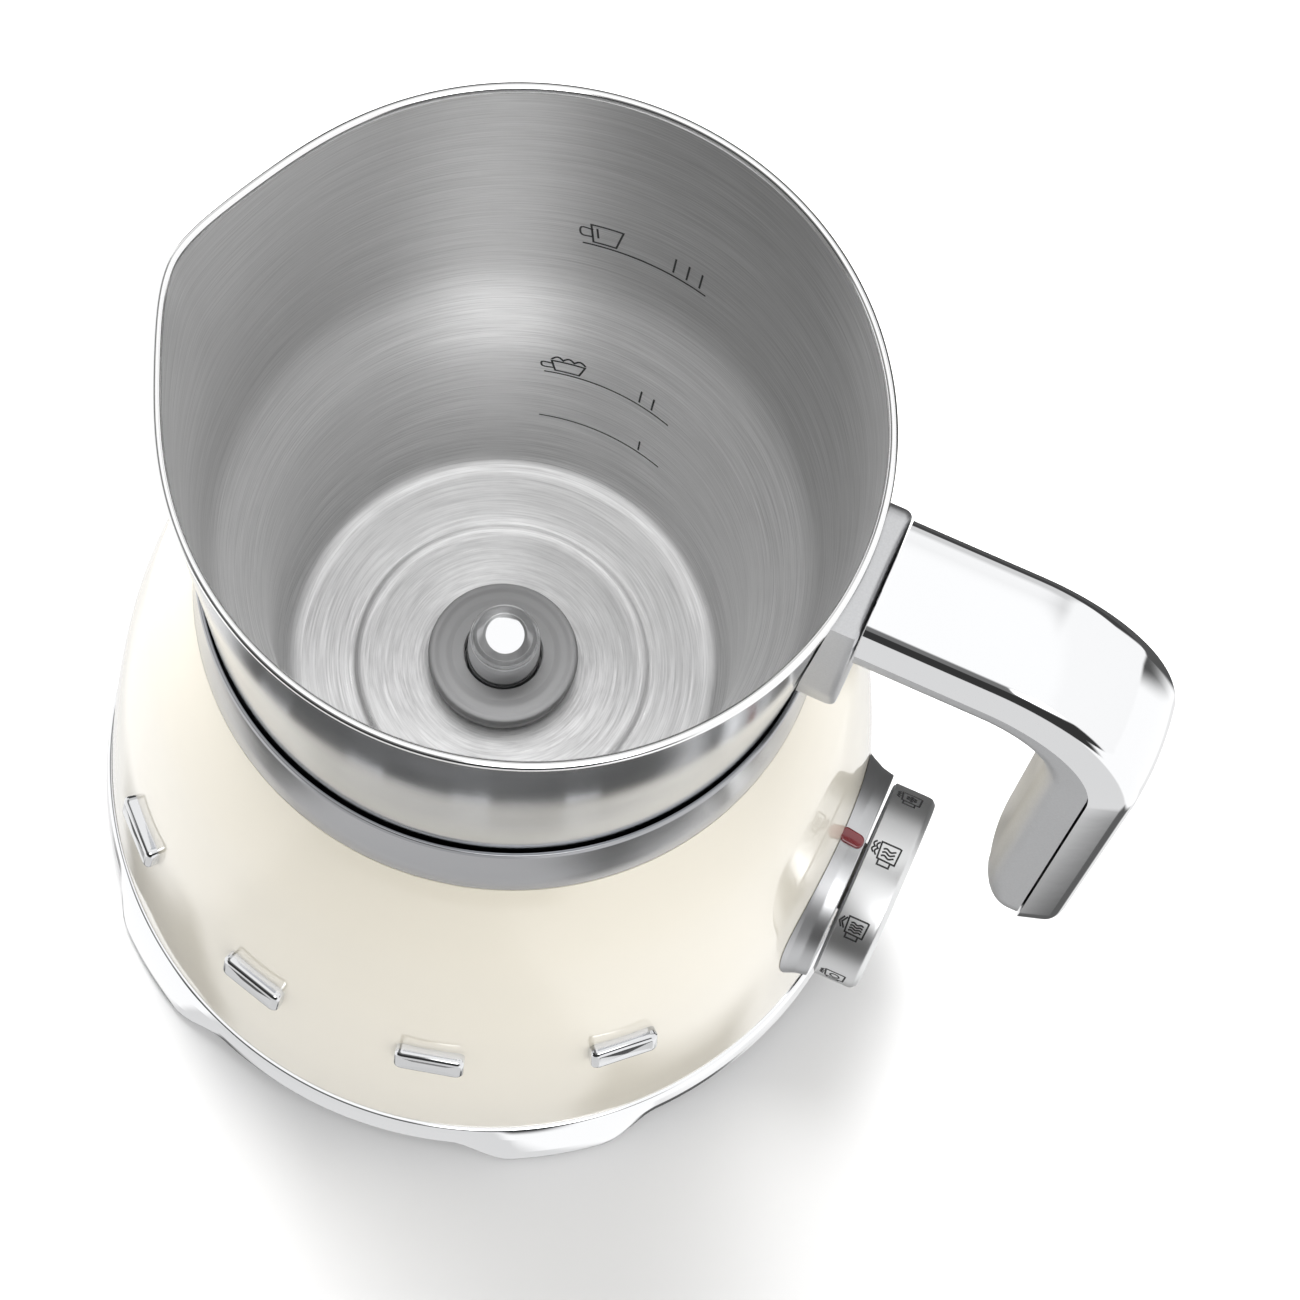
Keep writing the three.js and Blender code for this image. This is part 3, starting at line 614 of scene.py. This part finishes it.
# ------------------------------------------------------------------ handle
HX, HZ, HR = 82.0, 157.5, 21.0
BRACKET_X = 60.0
stations = []
for i in range(9):
    stations.append((60.4 + (HX - 60.4) * i / 8, HZ + HR, math.pi / 2))
for i in range(1, 25):
    a = math.pi / 2 * (1 - i / 24)
    stations.append((HX + HR * math.cos(a), HZ + HR * math.sin(a), a))
for i in range(1, 11):
    stations.append((HX + HR, HZ - (HZ - 106) * i / 10, 0.0))
for i in range(1, 29):
    t = i / 28
    stations.append((HX + HR, 106 - 20.98 * math.sin(t * math.pi / 2), 0.0))


def tip(z, length):
    if z > 85 + length:
        return 1.0
    return math.sqrt(max(0.0, 1 - ((85 + length - z) / length) ** 2))


def rounded_half(w, t, r_edge, crown, n=8):
    """Half-section over the parting line: a flat-topped arch of half-width w and height t."""
    pts = [(-w, 0.0), (w, 0.0)]
    sgn = 1 if t > 0 else -1
    r_edge = min(r_edge, abs(t) * 0.92, w * 0.9)
    top = abs(t) - crown
    for k in range(n + 1):
        a = math.pi / 2 * k / n
        pts.append((w - r_edge + r_edge * math.cos(a), sgn * (top - r_edge + r_edge * math.sin(a))))
    m = 10
    span = w - r_edge
    for k in range(1, m):
        u = span * (1 - 2 * k / m)
        pts.append((u, sgn * (top + crown * (1 - (u / span) ** 2))))
    for k in range(n + 1):
        a = math.pi / 2 * (1 - k / n)
        pts.append((-w + r_edge - r_edge * math.cos(a), sgn * (top - r_edge + r_edge * math.sin(a))))
    return pts


def sloped_half(w, t, r, lean, crown, n=8, m=10):
    """Half-section with leaning flanks, a small rounding and a slightly crowned top."""
    top = t - crown
    beta = math.atan2(lean, top)
    cx = w - (r + math.sin(beta) * (top - r)) / math.cos(beta)
    arc = [(cx + r * math.cos(a), top - r + r * math.sin(a)) for a in [beta + (math.pi / 2 - beta) * k / n for k in range(n + 1)]]
    mid = [(cx * (1 - 2 * k / m), top + crown * (1 - (1 - 2 * k / m) ** 2)) for k in range(1, m)]
    return [(-w, 0.0), (w, 0.0)] + arc + mid + [(-x, y) for x, y in reversed(arc)]


def sweep(section):
    rings = []
    for x, z, a in stations:
        zz = z if a == 0.0 else 200.0
        rings.append([(x + v * math.cos(a), u, z + v * math.sin(a)) for u, v in section(zz)])
    return rings


shell_rings = sweep(lambda z: sloped_half(12.0 * (0.5 + 0.5 * tip(z, 9)), 7.5 * (0.10 + 0.90 * tip(z, 11)), 2.9 * (0.1 + 0.9 * tip(z, 11)), 2.2 * (0.1 + 0.9 * tip(z, 11)), 0.55 * (0.1 + 0.9 * tip(z, 11))))
make("handle_outer", loft(shell_rings), MAT["chrome"], "jug", ["handle_shell"], 50)
grip_rings = sweep(lambda z: [(u, v - 0.3) for u, v in rounded_half(11.1 * (0.5 + 0.5 * tip(z, 9)), -9.6 * (0.08 + 0.92 * tip(z, 21)), 4.6 * (0.25 + 0.75 * tip(z, 12)), 0.8)])
make("handle_inner", loft(grip_rings), MAT["satin"], "jug", ["handle_grip"], 50)


def jug_out_r(z):
    pts = sorted([(q[1], q[0]) for q in outer if q[1] > 112])
    return float(np.interp(z, [p[0] for p in pts], [p[1] for p in pts]))


# Bracket: a rounded plate whose back follows the jug's wall.
outline = fillet([(-12.0, 185.0, 3.2), (12.0, 185.0, 3.2), (12.0, 158.0, 14), (8.6, 144.0, 7.0), (0.01, 137.0, 9.0), (-8.6, 144.0, 7.0), (-12.0, 158.0, 14)], 3.0, 8)
outline = [(y, z) for y, z in outline]
cy, cz = 0.0, 163.0


def inset(k, drop=0.0):
    """The outline shrunk towards its middle by k millimetres."""
    out = []
    for y, z in outline:
        dy, dz = y - cy, z - cz
        d = math.hypot(dy, dz)
        out.append((cy + dy * (1 - k / d), cz + dz * (1 - k / d)))
    return out


rings = []
for k in (22.0, 16.0, 10.0, 5.0, 2.0, 0.0):
    ring = inset(k) if k < 10 else [(cy + (y - cy) * (1 - k / 24.0), cz + (z - cz) * (1 - k / 24.0)) for y, z in outline]
    rings.append([(math.sqrt(max(1.0, (jug_out_r(z) + 0.32) ** 2 - y * y)), y, z) for y, z in ring])
for k, x in ((0.0, 58.6), (0.12, 59.1), (0.42, 59.55), (0.85, 59.85), (1.4, 60.0)):
    rings.append([(x, y, z) for y, z in inset(k)])
make("handle_plate", loft(rings), MAT["satin"], "jug", ["handle_bracket"], 38)

# ------------------------------------------------------------------ housing, collar, plinth
shell_line = catmull([(54.5, 110.0), (56.9, 105.0), (59.2, 99.6), (62.9, 89.0), (66.2, 75.0), (69.0, 60.8), (71.2, 45.5), (73.0, 29.5), (74.0, 18.5), (74.5, 12.8)], 6)
shell_inner = [(r - 2.6, z) for r, z in reversed(shell_line) if z < 105.5]
top_lip = [(53.4, 107.4), (50.6, 107.4), (50.4, 107.6), (50.4, 109.8), (50.6, 110.0)]
housing = shell_line + [(74.3, 12.5), (72.2, 12.5)] + shell_inner + top_lip


def shell_r(z):
    pts = sorted([(q[1], q[0]) for q in shell_line])
    return float(np.interp(z, [p[0] for p in pts], [p[1] for p in pts]))


ob = make("housing", revolve([(r, z) for r, z in housing], 240), MAT["cream"], "base", ["body_shell"], 40)
DIAL_Z = 36.2
hole = turned(revolve(fillet([(0, 0), (17.2, 0, 0), (17.2, 40, 0), (0, 40)], 0, 1, False), 96), shift(52, 0, DIAL_Z) @ ALONG_X)
to_y = Matrix(((1, 0, 0, 0), (0, 0, 1, 0), (0, -1, 0, 0), (0, 0, 0, 1)))
hole2 = turned(revolve([(0, 0), (4.7, 0), (4.7, 20), (0, 20)], 64), shift(0, 62, 26) @ to_y)
carve(ob, [hole, hole2], 40)

collar = fillet([(54.5, 110.35, 0.2), (54.1, 116.0, 6), (53.75, 122.0, 6), (53.6, 126.2, 0.6), (53.35, 127.0, 0.25), (52.82, 127.0, 0.15), (52.75, 126.3, 0.3), (52.75, 120.0, 3), (52.75, 115.6, 0.4), (53.35, 114.0, 0.3), (53.35, 110.35, 0.2)], 0.4, 6)
make("collar_band", revolve(collar, 240), MAT["collar"], "base", ["collar_ring"], 45)

FOOT_AZ = (-56, -124, 124, 56)


def foot_near(a):
    best = 0.0
    for f in FOOT_AZ:
        d = abs(math.atan2(math.sin(a - rad(f)), math.cos(a - rad(f))))
        best = max(best, 1 - smooth(rad(6.5), rad(15.5), d))
    return best


def plinth_shape(r, z, a):
    f, low = foot_near(a), 1 - smooth(4.2, 12, z)
    return (r + 2.4 * f * (low ** 0.6 if r > 74 else 0.0), z - 3.3 * f * (1 if z < 5 else low))


plinth = fillet([(74.1, 12.35, 0.2), (75.0, 12.15, 0.5), (75.45, 10.0, 2), (75.85, 7.0, 2), (76.0, 4.9, 0.5), (75.5, 4.25, 0.4), (72.6, 4.2, 0.3), (72.2, 4.8, 0.2), (71.9, 12.35, 0.2)], 0.3, 6)
dense = []
for (r0, z0), (r1, z1) in zip(plinth, plinth[1:] + plinth[:1]):
    n = max(1, int(abs(z1 - z0) / 0.9))
    dense += [(r0 + (r1 - r0) * i / n, z0 + (z1 - z0) * i / n) for i in range(n)]
make("plinth_band", revolve(dense, 432, plinth_shape), MAT["chrome"], "base", ["plinth_ring"], 50)

# ------------------------------------------------------------------ trim bars on the front
def rounded_rect(w, h, r, n=6):
    pts = []
    for cx, cyy, a0 in ((w - r, h - r, 0), (-w + r, h - r, 90), (-w + r, -h + r, 180), (w - r, -h + r, 270)):
        for k in range(n + 1):
            a = rad(a0 + 90 * k / n)
            pts.append((cx + r * math.cos(a), cyy + r * math.sin(a)))
    return pts


BAR_AZ = (-133, -104.3, -75.7, -47)
slope = math.atan2(shell_r(46) - shell_r(56), 10.0)
for i, az in enumerate(BAR_AZ):
    rings = []
    for k, h in ((0.0, -1.2), (0.0, 1.35), (0.1, 1.75), (0.35, 2.05), (0.75, 2.25), (1.25, 2.32)):
        rings.append([(u, v, h) for u, v in rounded_rect(6.3 - k, 3.6 - k, max(0.35, 1.5 - k))])
    # dished face: a shallow groove framed by the bevel
    for k, h in ((1.5, 2.28), (1.75, 2.18)):
        rings.append([(u, v, h) for u, v in rounded_rect(6.3 - k, 3.6 - k, max(0.3, 1.5 - k))])
    data = loft(rings)
    verts = []
    for u, v, h in data[0]:
        # wrap along the housing so that the bar follows its curve
        zc = 51.0 + v * math.cos(slope) + h * math.sin(slope)
        rr = shell_r(51.0) + h * math.cos(slope) - v * math.sin(slope)
        a = rad(az) + u / 70.4
        verts.append((rr * math.cos(a), rr * math.sin(a), zc))
    make(f"trim_piece_{i + 1}", (verts, data[1]), MAT["trim"], "base", [f"trim_bar_{i + 1}"], 45)

# ------------------------------------------------------------------ dial
KX = 74.5
bez = fillet([(20.75, 0.0, 0.5), (20.85, -0.8, 0), (21.2, -2.4, 3), (22.2, -4.6, 4), (23.6, -7.2, 6), (25.2, -10.4, 5), (25.6, -16.0, 0), (17.6, -16.0, 0), (17.6, 0.0, 0.3)], 0.4, 5)
ob = make("dial_surround", turned(revolve(bez, 192), shift(KX - 0.6, 0, DIAL_Z) @ ALONG_X), MAT["surround"], "base", ["dial_bezel"], 45)
cutter = revolve([(0, 111.0)] + [(r + 0.12, z) for r, z in shell_line] + [(74.62, 12.3), (0, 12.3)], 240)
below = revolve([(0, 12.6), (95, 12.6), (95, -5), (0, -5)], 64)
slot_cut = loft([[(x, y, z) for x, y in ((70.6, -1.55), (74.7, -1.55), (74.7, 1.55), (70.6, 1.55))] for z in (57.6, 62.0)])
carve(ob, [cutter, below], 45)

# Indicator mark: a rounded red lens let into the top of the surround.
mark = []
for k, h in ((0.0, -1.0), (0.0, 0.22), (0.12, 0.4), (0.35, 0.52), (0.7, 0.58)):
    mark.append([(u, v, h) for u, v in rounded_rect(2.35 - k, 1.45 - k * 0.9, max(0.2, 1.2 - k), 5)])
data = loft(mark)
verts = []
for u, v, h in data[0]:
    x = KX - 3.15 + u
    rr = float(np.interp(KX - 0.6 - x, [0, 0.8, 2.4, 4.6, 7.2], [20.75, 20.85, 21.2, 22.2, 23.6])) + h
    verts.append((x, rr * math.sin(v / 21.0), DIAL_Z + rr * math.cos(v / 21.0)))
make("indicator_lens", (verts, data[1]), MAT["red"], "base", ["indicator_mark"], 50)

knob = fillet([(7.2, 0.05, 0.2), (17.8, 0.0, 0), (18.9, 0.0, 0.3), (19.2, 0.3, 0.2), (19.6, 0.45, 0.3), (19.6, 7.2, 0), (19.45, 8.0, 0.8), (18.6, 8.85, 0.9), (17.4, 8.9, 0.4), (16.0, 8.9, 0.35), (15.4, 8.3, 0.3), (15.4, 3.0, 0.3), (7.2, 3.0, 0.2)], 0.3, 6)
make("dial_body", turned(revolve(knob, 192), shift(KX, 0, DIAL_Z) @ ALONG_X), MAT["knob"], "dial", ["dial_knob"], 40)
cap = fillet([(0, 0), (6.6, 0, 0.2), (6.6, 1.0, 0.2), (14.9, 1.3, 0.3), (14.9, 3.5, 0.4), (14.1, 4.35, 0.7), (9, 4.8, 4), (0, 4.9)], 0.4, 6, False)
make("button_cap", turned(revolve(cap, 144), shift(KX + 3.4, 0, DIAL_Z) @ ALONG_X), MAT["cap"], "button", ["start_button"], 40)


# Line drawings round the dial's rim. u runs along the rim, v from its front edge (0) to its back.
def on_rim(angle):
    """angle from the top of the dial towards the front (-Y); local +u towards the knob's front edge, +v against the angle."""
    def place(u, v, h):
        r = 19.6 + h
        a = rad(angle) - v / 19.6
        return (KX + 4.2 + u, -r * math.sin(a), DIAL_Z + r * math.cos(a))
    return place


def wave(u0, u1, v, amp, waves, n=16):
    return ([(u0 + (u1 - u0) * i / n, v + amp * math.sin(2 * math.pi * waves * i / n)) for i in range(n + 1)], False)


def bumps(u, v0, v1, amp, count, n=18):
    return ([(u - amp * abs(math.sin(math.pi * count * i / n)), v0 + (v1 - v0) * i / n) for i in range(n + 1)], False)


def vessel(kind):
    """A plain beaker on a stand, with something different inside for each programme."""
    w, h = 1.95, 1.75
    out = [([(-w + 0.2, -h + 0.15), (w - 0.15, -h), (w, h - 0.1), (w * 0.85, h), (-w, h)], True)]
    out.append(([(-1.35, -h), (-1.35, -h - 0.95), (0.95, -h - 0.95), (0.95, -h)], False))
    if kind % 4 == 0:
        for a in (0, 60, 120):
            c, s = math.cos(rad(a + 90)), math.sin(rad(a + 90))
            out.append(([(-1.05 * c, -1.05 * s), (1.05 * c, 1.05 * s)], False))
            for e in (-1, 1):
                for b in (-38, 38):
                    c2, s2 = math.cos(rad(a + 90 + b)), math.sin(rad(a + 90 + b))
                    out.append(([(e * 0.6 * c, e * 0.6 * s), (e * (0.6 * c + 0.4 * c2), e * (0.6 * s + 0.4 * s2))], False))
    elif kind % 4 == 1:
        out += [wave(-1.15, 1.15, v, 0.2, 1.2) for v in (-0.85, -0.15, 0.55)]
    elif kind % 4 == 2:
        out += [wave(-1.15, 1.15, v, 0.14, 1.5) for v in (-0.95, -0.4, 0.15, 0.7)]
    else:
        out.append(([(0.9 * math.cos(rad(t)), 0.9 * math.sin(rad(t))) for t in range(0, 360, 30)], True))
    if kind % 3 == 0:
        out.append(bumps(-w - 0.35, -1.1, 1.4, 0.5, 3))
    elif kind % 3 == 1:
        out.append(bumps(-w - 0.3, -1.1, 1.4, 0.4, 2))
        out.append(bumps(-w - 0.95, -0.8, 1.5, 0.4, 2))
    else:
        out.append(([(-w - 0.3, 1.3), (-w - 0.95, 0.2), (-w - 0.3, -0.9)], False))
        out.append(([(-w - 0.85, 1.3), (-w - 1.45, 0.2), (-w - 0.85, -0.9)], False))
    return out


verts, faces = [], []
for i in range(8):
    v, f = strokes(vessel(i), on_rim(-47 + 45 * i), 0.34, 0.035, 0.05, 0.5)
    faces += [tuple(k + len(verts) for k in q) for q in f]
    verts += v
make("dial_drawings", (verts, faces), MAT["ink"], "dial", (), 40)

# ------------------------------------------------------------------ cradle, feet, gland
cradle = fillet([(52.9, 113.3, 0.3), (53.1, 111.7, 0.4), (49.4, 111.2, 1.0), (47.0, 109.0, 1.5), (46.5, 66.4, 1.2), (44.0, 64.4, 1.2), (6.0, 64.4, 0.3), (6.0, 67.0, 0.4),
                 (42.4, 67.0, 1.2), (44.4, 68.8, 1.2), (44.7, 109.6, 1.4), (47.0, 112.4, 1.4)], 0.5, 6)
make("cradle_bowl", revolve(cradle, 192), MAT["black"], "base", ["jug_cradle"], 40)
for i, a in enumerate(FOOT_AZ):
    x, y = 60.5 * math.cos(rad(a)), 60.5 * math.sin(rad(a))
    foot = fillet([(0, 0.35), (3.4, 0.35, 0.2), (3.8, 0.0, 0.2), (6.2, 0.0, 0.3), (6.85, 0.7, 0.3), (6.85, 2.1, 0.1), (0, 2.1)], 0.2, 4, False)
    make(f"foot_pad_{i + 1}", turned(revolve(foot, 64), shift(x, y, 0)), MAT["rubber"], "base", [f"rubber_foot_{i + 1}"], 40)
gland = fillet([(3.6, -4, 0.2), (7.0, -4, 0.3), (7.0, -1.4, 0.3), (4.3, -1.0, 0.2), (4.3, 4.4, 0.2), (7.2, 5.2, 0.5), (7.2, 6.6, 0.6), (6.2, 7.6, 0.6), (3.6, 7.8, 0.4)], 0.3, 5)
make("gland_sleeve", turned(revolve(gland, 64), shift(0, 69.8, 26) @ to_y), MAT["rubber"], "base", ["cord_gland"], 40)

# ------------------------------------------------------------------ springs and coil wound from wire
def wire(name, points, r, mat, body, nodes, sides=10):
    pts = [Vector(p) for p in points]
    rings, up = [], None
    for i, p in enumerate(pts):
        t = (pts[min(i + 1, len(pts) - 1)] - pts[max(i - 1, 0)]).normalized()
        if up is None:
            up = t.orthogonal().normalized()
        up = (up - t * up.dot(t)).normalized()
        side = t.cross(up)
        rings.append([tuple(p + (up * math.cos(2 * math.pi * k / sides) + side * math.sin(2 * math.pi * k / sides)) * r) for k in range(sides)])
    return make(name, loft(rings), mat, body, nodes, 60)


wire("probe_coil_spring", [(2.45 * math.cos(t), 2.45 * math.sin(t), 56.4 + 3.9 * min(1, max(0, (t - 4) / 26))) for t in np.linspace(0, 34, 220)],
     0.36, MAT["zinc"], "base", ["probe_spring"])
wire("button_coil_spring", [(57.1 + 7.5 * min(1, max(0, (t - 4) / 36)), 3.1 * math.cos(t), DIAL_Z + 3.1 * math.sin(t)) for t in np.linspace(0, 44, 260)],
     0.38, MAT["zinc"], "base", ["button_spring"])
turns = [((15.9 + 23.8 * t) * math.cos(2 * math.pi * 11 * t), (15.9 + 23.8 * t) * math.sin(2 * math.pi * 11 * t), 60.6) for t in np.linspace(0, 1, 700)]
wire("wound_coil", turns, 0.95, MAT["copper"], "base", ["induction_coil"], 10)

# ------------------------------------------------------------------ stage: floor, light, camera
def stage_floor():
    me = bpy.data.meshes.new("floor")
    n, s = 24, 4.0
    pts = [(s * (2 * i / n - 1), s * (2 * j / n - 1), 0.0) for j in range(n + 1) for i in range(n + 1)]
    fs = [(j * (n + 1) + i, j * (n + 1) + i + 1, (j + 1) * (n + 1) + i + 1, (j + 1) * (n + 1) + i) for j in range(n) for i in range(n)]
    me.from_pydata(pts, [], fs)
    m = Nodes("pale_floor", (0.76, 0.76, 0.76), 0.0, 0.9, Specular_IOR_Level=0.1)
    m.out("Base Color", m.ramp(m.noise(m.coords(), 6.0), [(0.3, 0.755), (0.7, 0.765)]))
    me.materials.append(m.mat)
    f = bpy.data.objects.new("floor", me)
    f.location = (0, 0, -0.0002)
    bpy.context.scene.collection.objects.link(f)
    f.visible_glossy = False


stage_floor()

# Studio surroundings: white overhead and at both sides, a window in front, dark behind and at the horizon in front.
world = bpy.data.worlds.new("studio")
world.use_nodes = True
bpy.context.scene.world = world
W = Nodes.__new__(Nodes)
W.t = world.node_tree
wsep = W.node("ShaderNodeSeparateXYZ")
W.link(W.node("ShaderNodeTexCoord").outputs["Generated"], wsep.inputs[0])
dx, dy, dz = wsep.outputs


def ease(value, a, b):
    n = W.node("ShaderNodeMapRange", interpolation_type="SMOOTHSTEP")
    n.inputs["From Min"].default_value, n.inputs["From Max"].default_value = a, b
    W.link(value, n.inputs["Value"])
    return n.outputs["Result"]


def blend(a, b, t):
    n = W.node("ShaderNodeMix", data_type="FLOAT")
    for i, v in ((2, a), (3, b)):
        if isinstance(v, (int, float)):
            n.inputs[i].default_value = v
        else:
            W.link(v, n.inputs[i])
    W.link(t, n.inputs[0])
    return n.outputs[0]


ax = W.math("ABSOLUTE", dx)
flat = W.math("MAXIMUM", W.math("SQRT", W.math("ADD", W.math("MULTIPLY", dx, dx), W.math("MULTIPLY", dy, dy))), 1e-3)
front = W.math("DIVIDE", W.math("ADD", W.math("MULTIPLY", dx, 0.545), W.math("MULTIPLY", dy, -0.839)), flat)
low = blend(0.12, 0.9, ease(dy, 0.03, 0.12))
low = blend(low, 0.80, ease(dy, -0.19, -0.27))
low = blend(low, 1.15, ease(ax, 0.36, 0.44))
low = blend(low, 0.04, W.math("MULTIPLY", ease(dy, -0.66, -0.76), ease(dz, -0.44, -0.38)))
low = blend(low, 0.10, ease(dy, 0.42, 0.50))
high = blend(0.20, 0.74, ease(dy, 0.3, 0.42))
high = blend(high, 1.1, ease(dx, 0.28, 0.42))
high = blend(high, 1.1, W.math("MULTIPLY", ease(dx, -0.45, -0.52), ease(dz, 0.36, 0.28)))
high = blend(high, 0.06, W.math("MULTIPLY", ease(dy, 0.58, 0.70), ease(dz, 0.36, 0.28)))
high = blend(high, 0.04, W.math("MULTIPLY", ease(dy, -0.42, -0.54), ease(dz, 0.46, 0.38)))
high = blend(high, 5.5, W.math("MULTIPLY", ease(front, 0.92, 0.985), W.math("MULTIPLY", ease(dz, 0.46, 0.54), ease(dz, 0.84, 0.70))))
high = blend(high, 1.15, ease(dz, 0.72, 0.86))
sky = blend(low, high, ease(dz, -0.12, -0.06))
W.link(sky, W.t.nodes["Background"].inputs["Color"])
W.t.nodes["Background"].inputs["Strength"].default_value = 1.0


def area(name, loc, target, size, power, diffuse=True, glossy=True, size_y=None, color=(1, 1, 1)):
    light = bpy.data.lights.new(name, "AREA")
    light.shape = "RECTANGLE"
    light.size, light.size_y = size, size_y or size
    light.energy = power
    light.color = color
    o = bpy.data.objects.new(name, light)
    o.location = loc
    o.rotation_euler = (Vector(target) - Vector(loc)).to_track_quat("-Z", "Y").to_euler()
    o.visible_camera = False
    o.visible_diffuse = diffuse
    o.visible_glossy = glossy
    bpy.context.scene.collection.objects.link(o)
    return o


area("overhead", (0.0, 0.1, 1.5), (0, 0, 0), 1.4, 1.5, glossy=False)
area("key_back", (-0.34, 0.56, 1.15), (0, 0, 0.1), 0.72, 32.0, glossy=False)


# Camera: 70 degrees down, turned 18.7 degrees round the jug.
E, PAN, ROLL, F, DC, HC, YAW = rad(70.372), rad(6.721), rad(12.407), 3700.37, 221.329, 709.507, rad(18.7248)
back_yaw = Matrix.Rotation(YAW, 3, "Z")
fwd = Vector((math.sin(PAN) * math.cos(E), math.cos(PAN) * math.cos(E), -math.sin(E)))
right = Vector((math.cos(PAN), -math.sin(PAN), 0))
up = right.cross(fwd)
r2 = math.cos(ROLL) * right + math.sin(ROLL) * up
u2 = -math.sin(ROLL) * right + math.cos(ROLL) * up
fwd, r2, u2 = back_yaw @ fwd, back_yaw @ r2, back_yaw @ u2
pos = back_yaw @ Vector((0, -DC, HC)) * MM
cam_data = bpy.data.cameras.new("camera")
cam_data.sensor_width = 36.0
cam_data.sensor_fit = "HORIZONTAL"
cam_data.lens = F / 1300 * 36
cam_data.clip_start, cam_data.clip_end = 0.01, 50
cam = bpy.data.objects.new("camera", cam_data)
cam.matrix_world = Matrix(((r2[0], u2[0], -fwd[0], pos[0]), (r2[1], u2[1], -fwd[1], pos[1]), (r2[2], u2[2], -fwd[2], pos[2]), (0, 0, 0, 1)))
bpy.context.scene.collection.objects.link(cam)
bpy.context.scene.camera = cam
bpy.context.scene.view_settings.view_transform = "Standard"
bpy.context.scene.view_settings.look = "None"
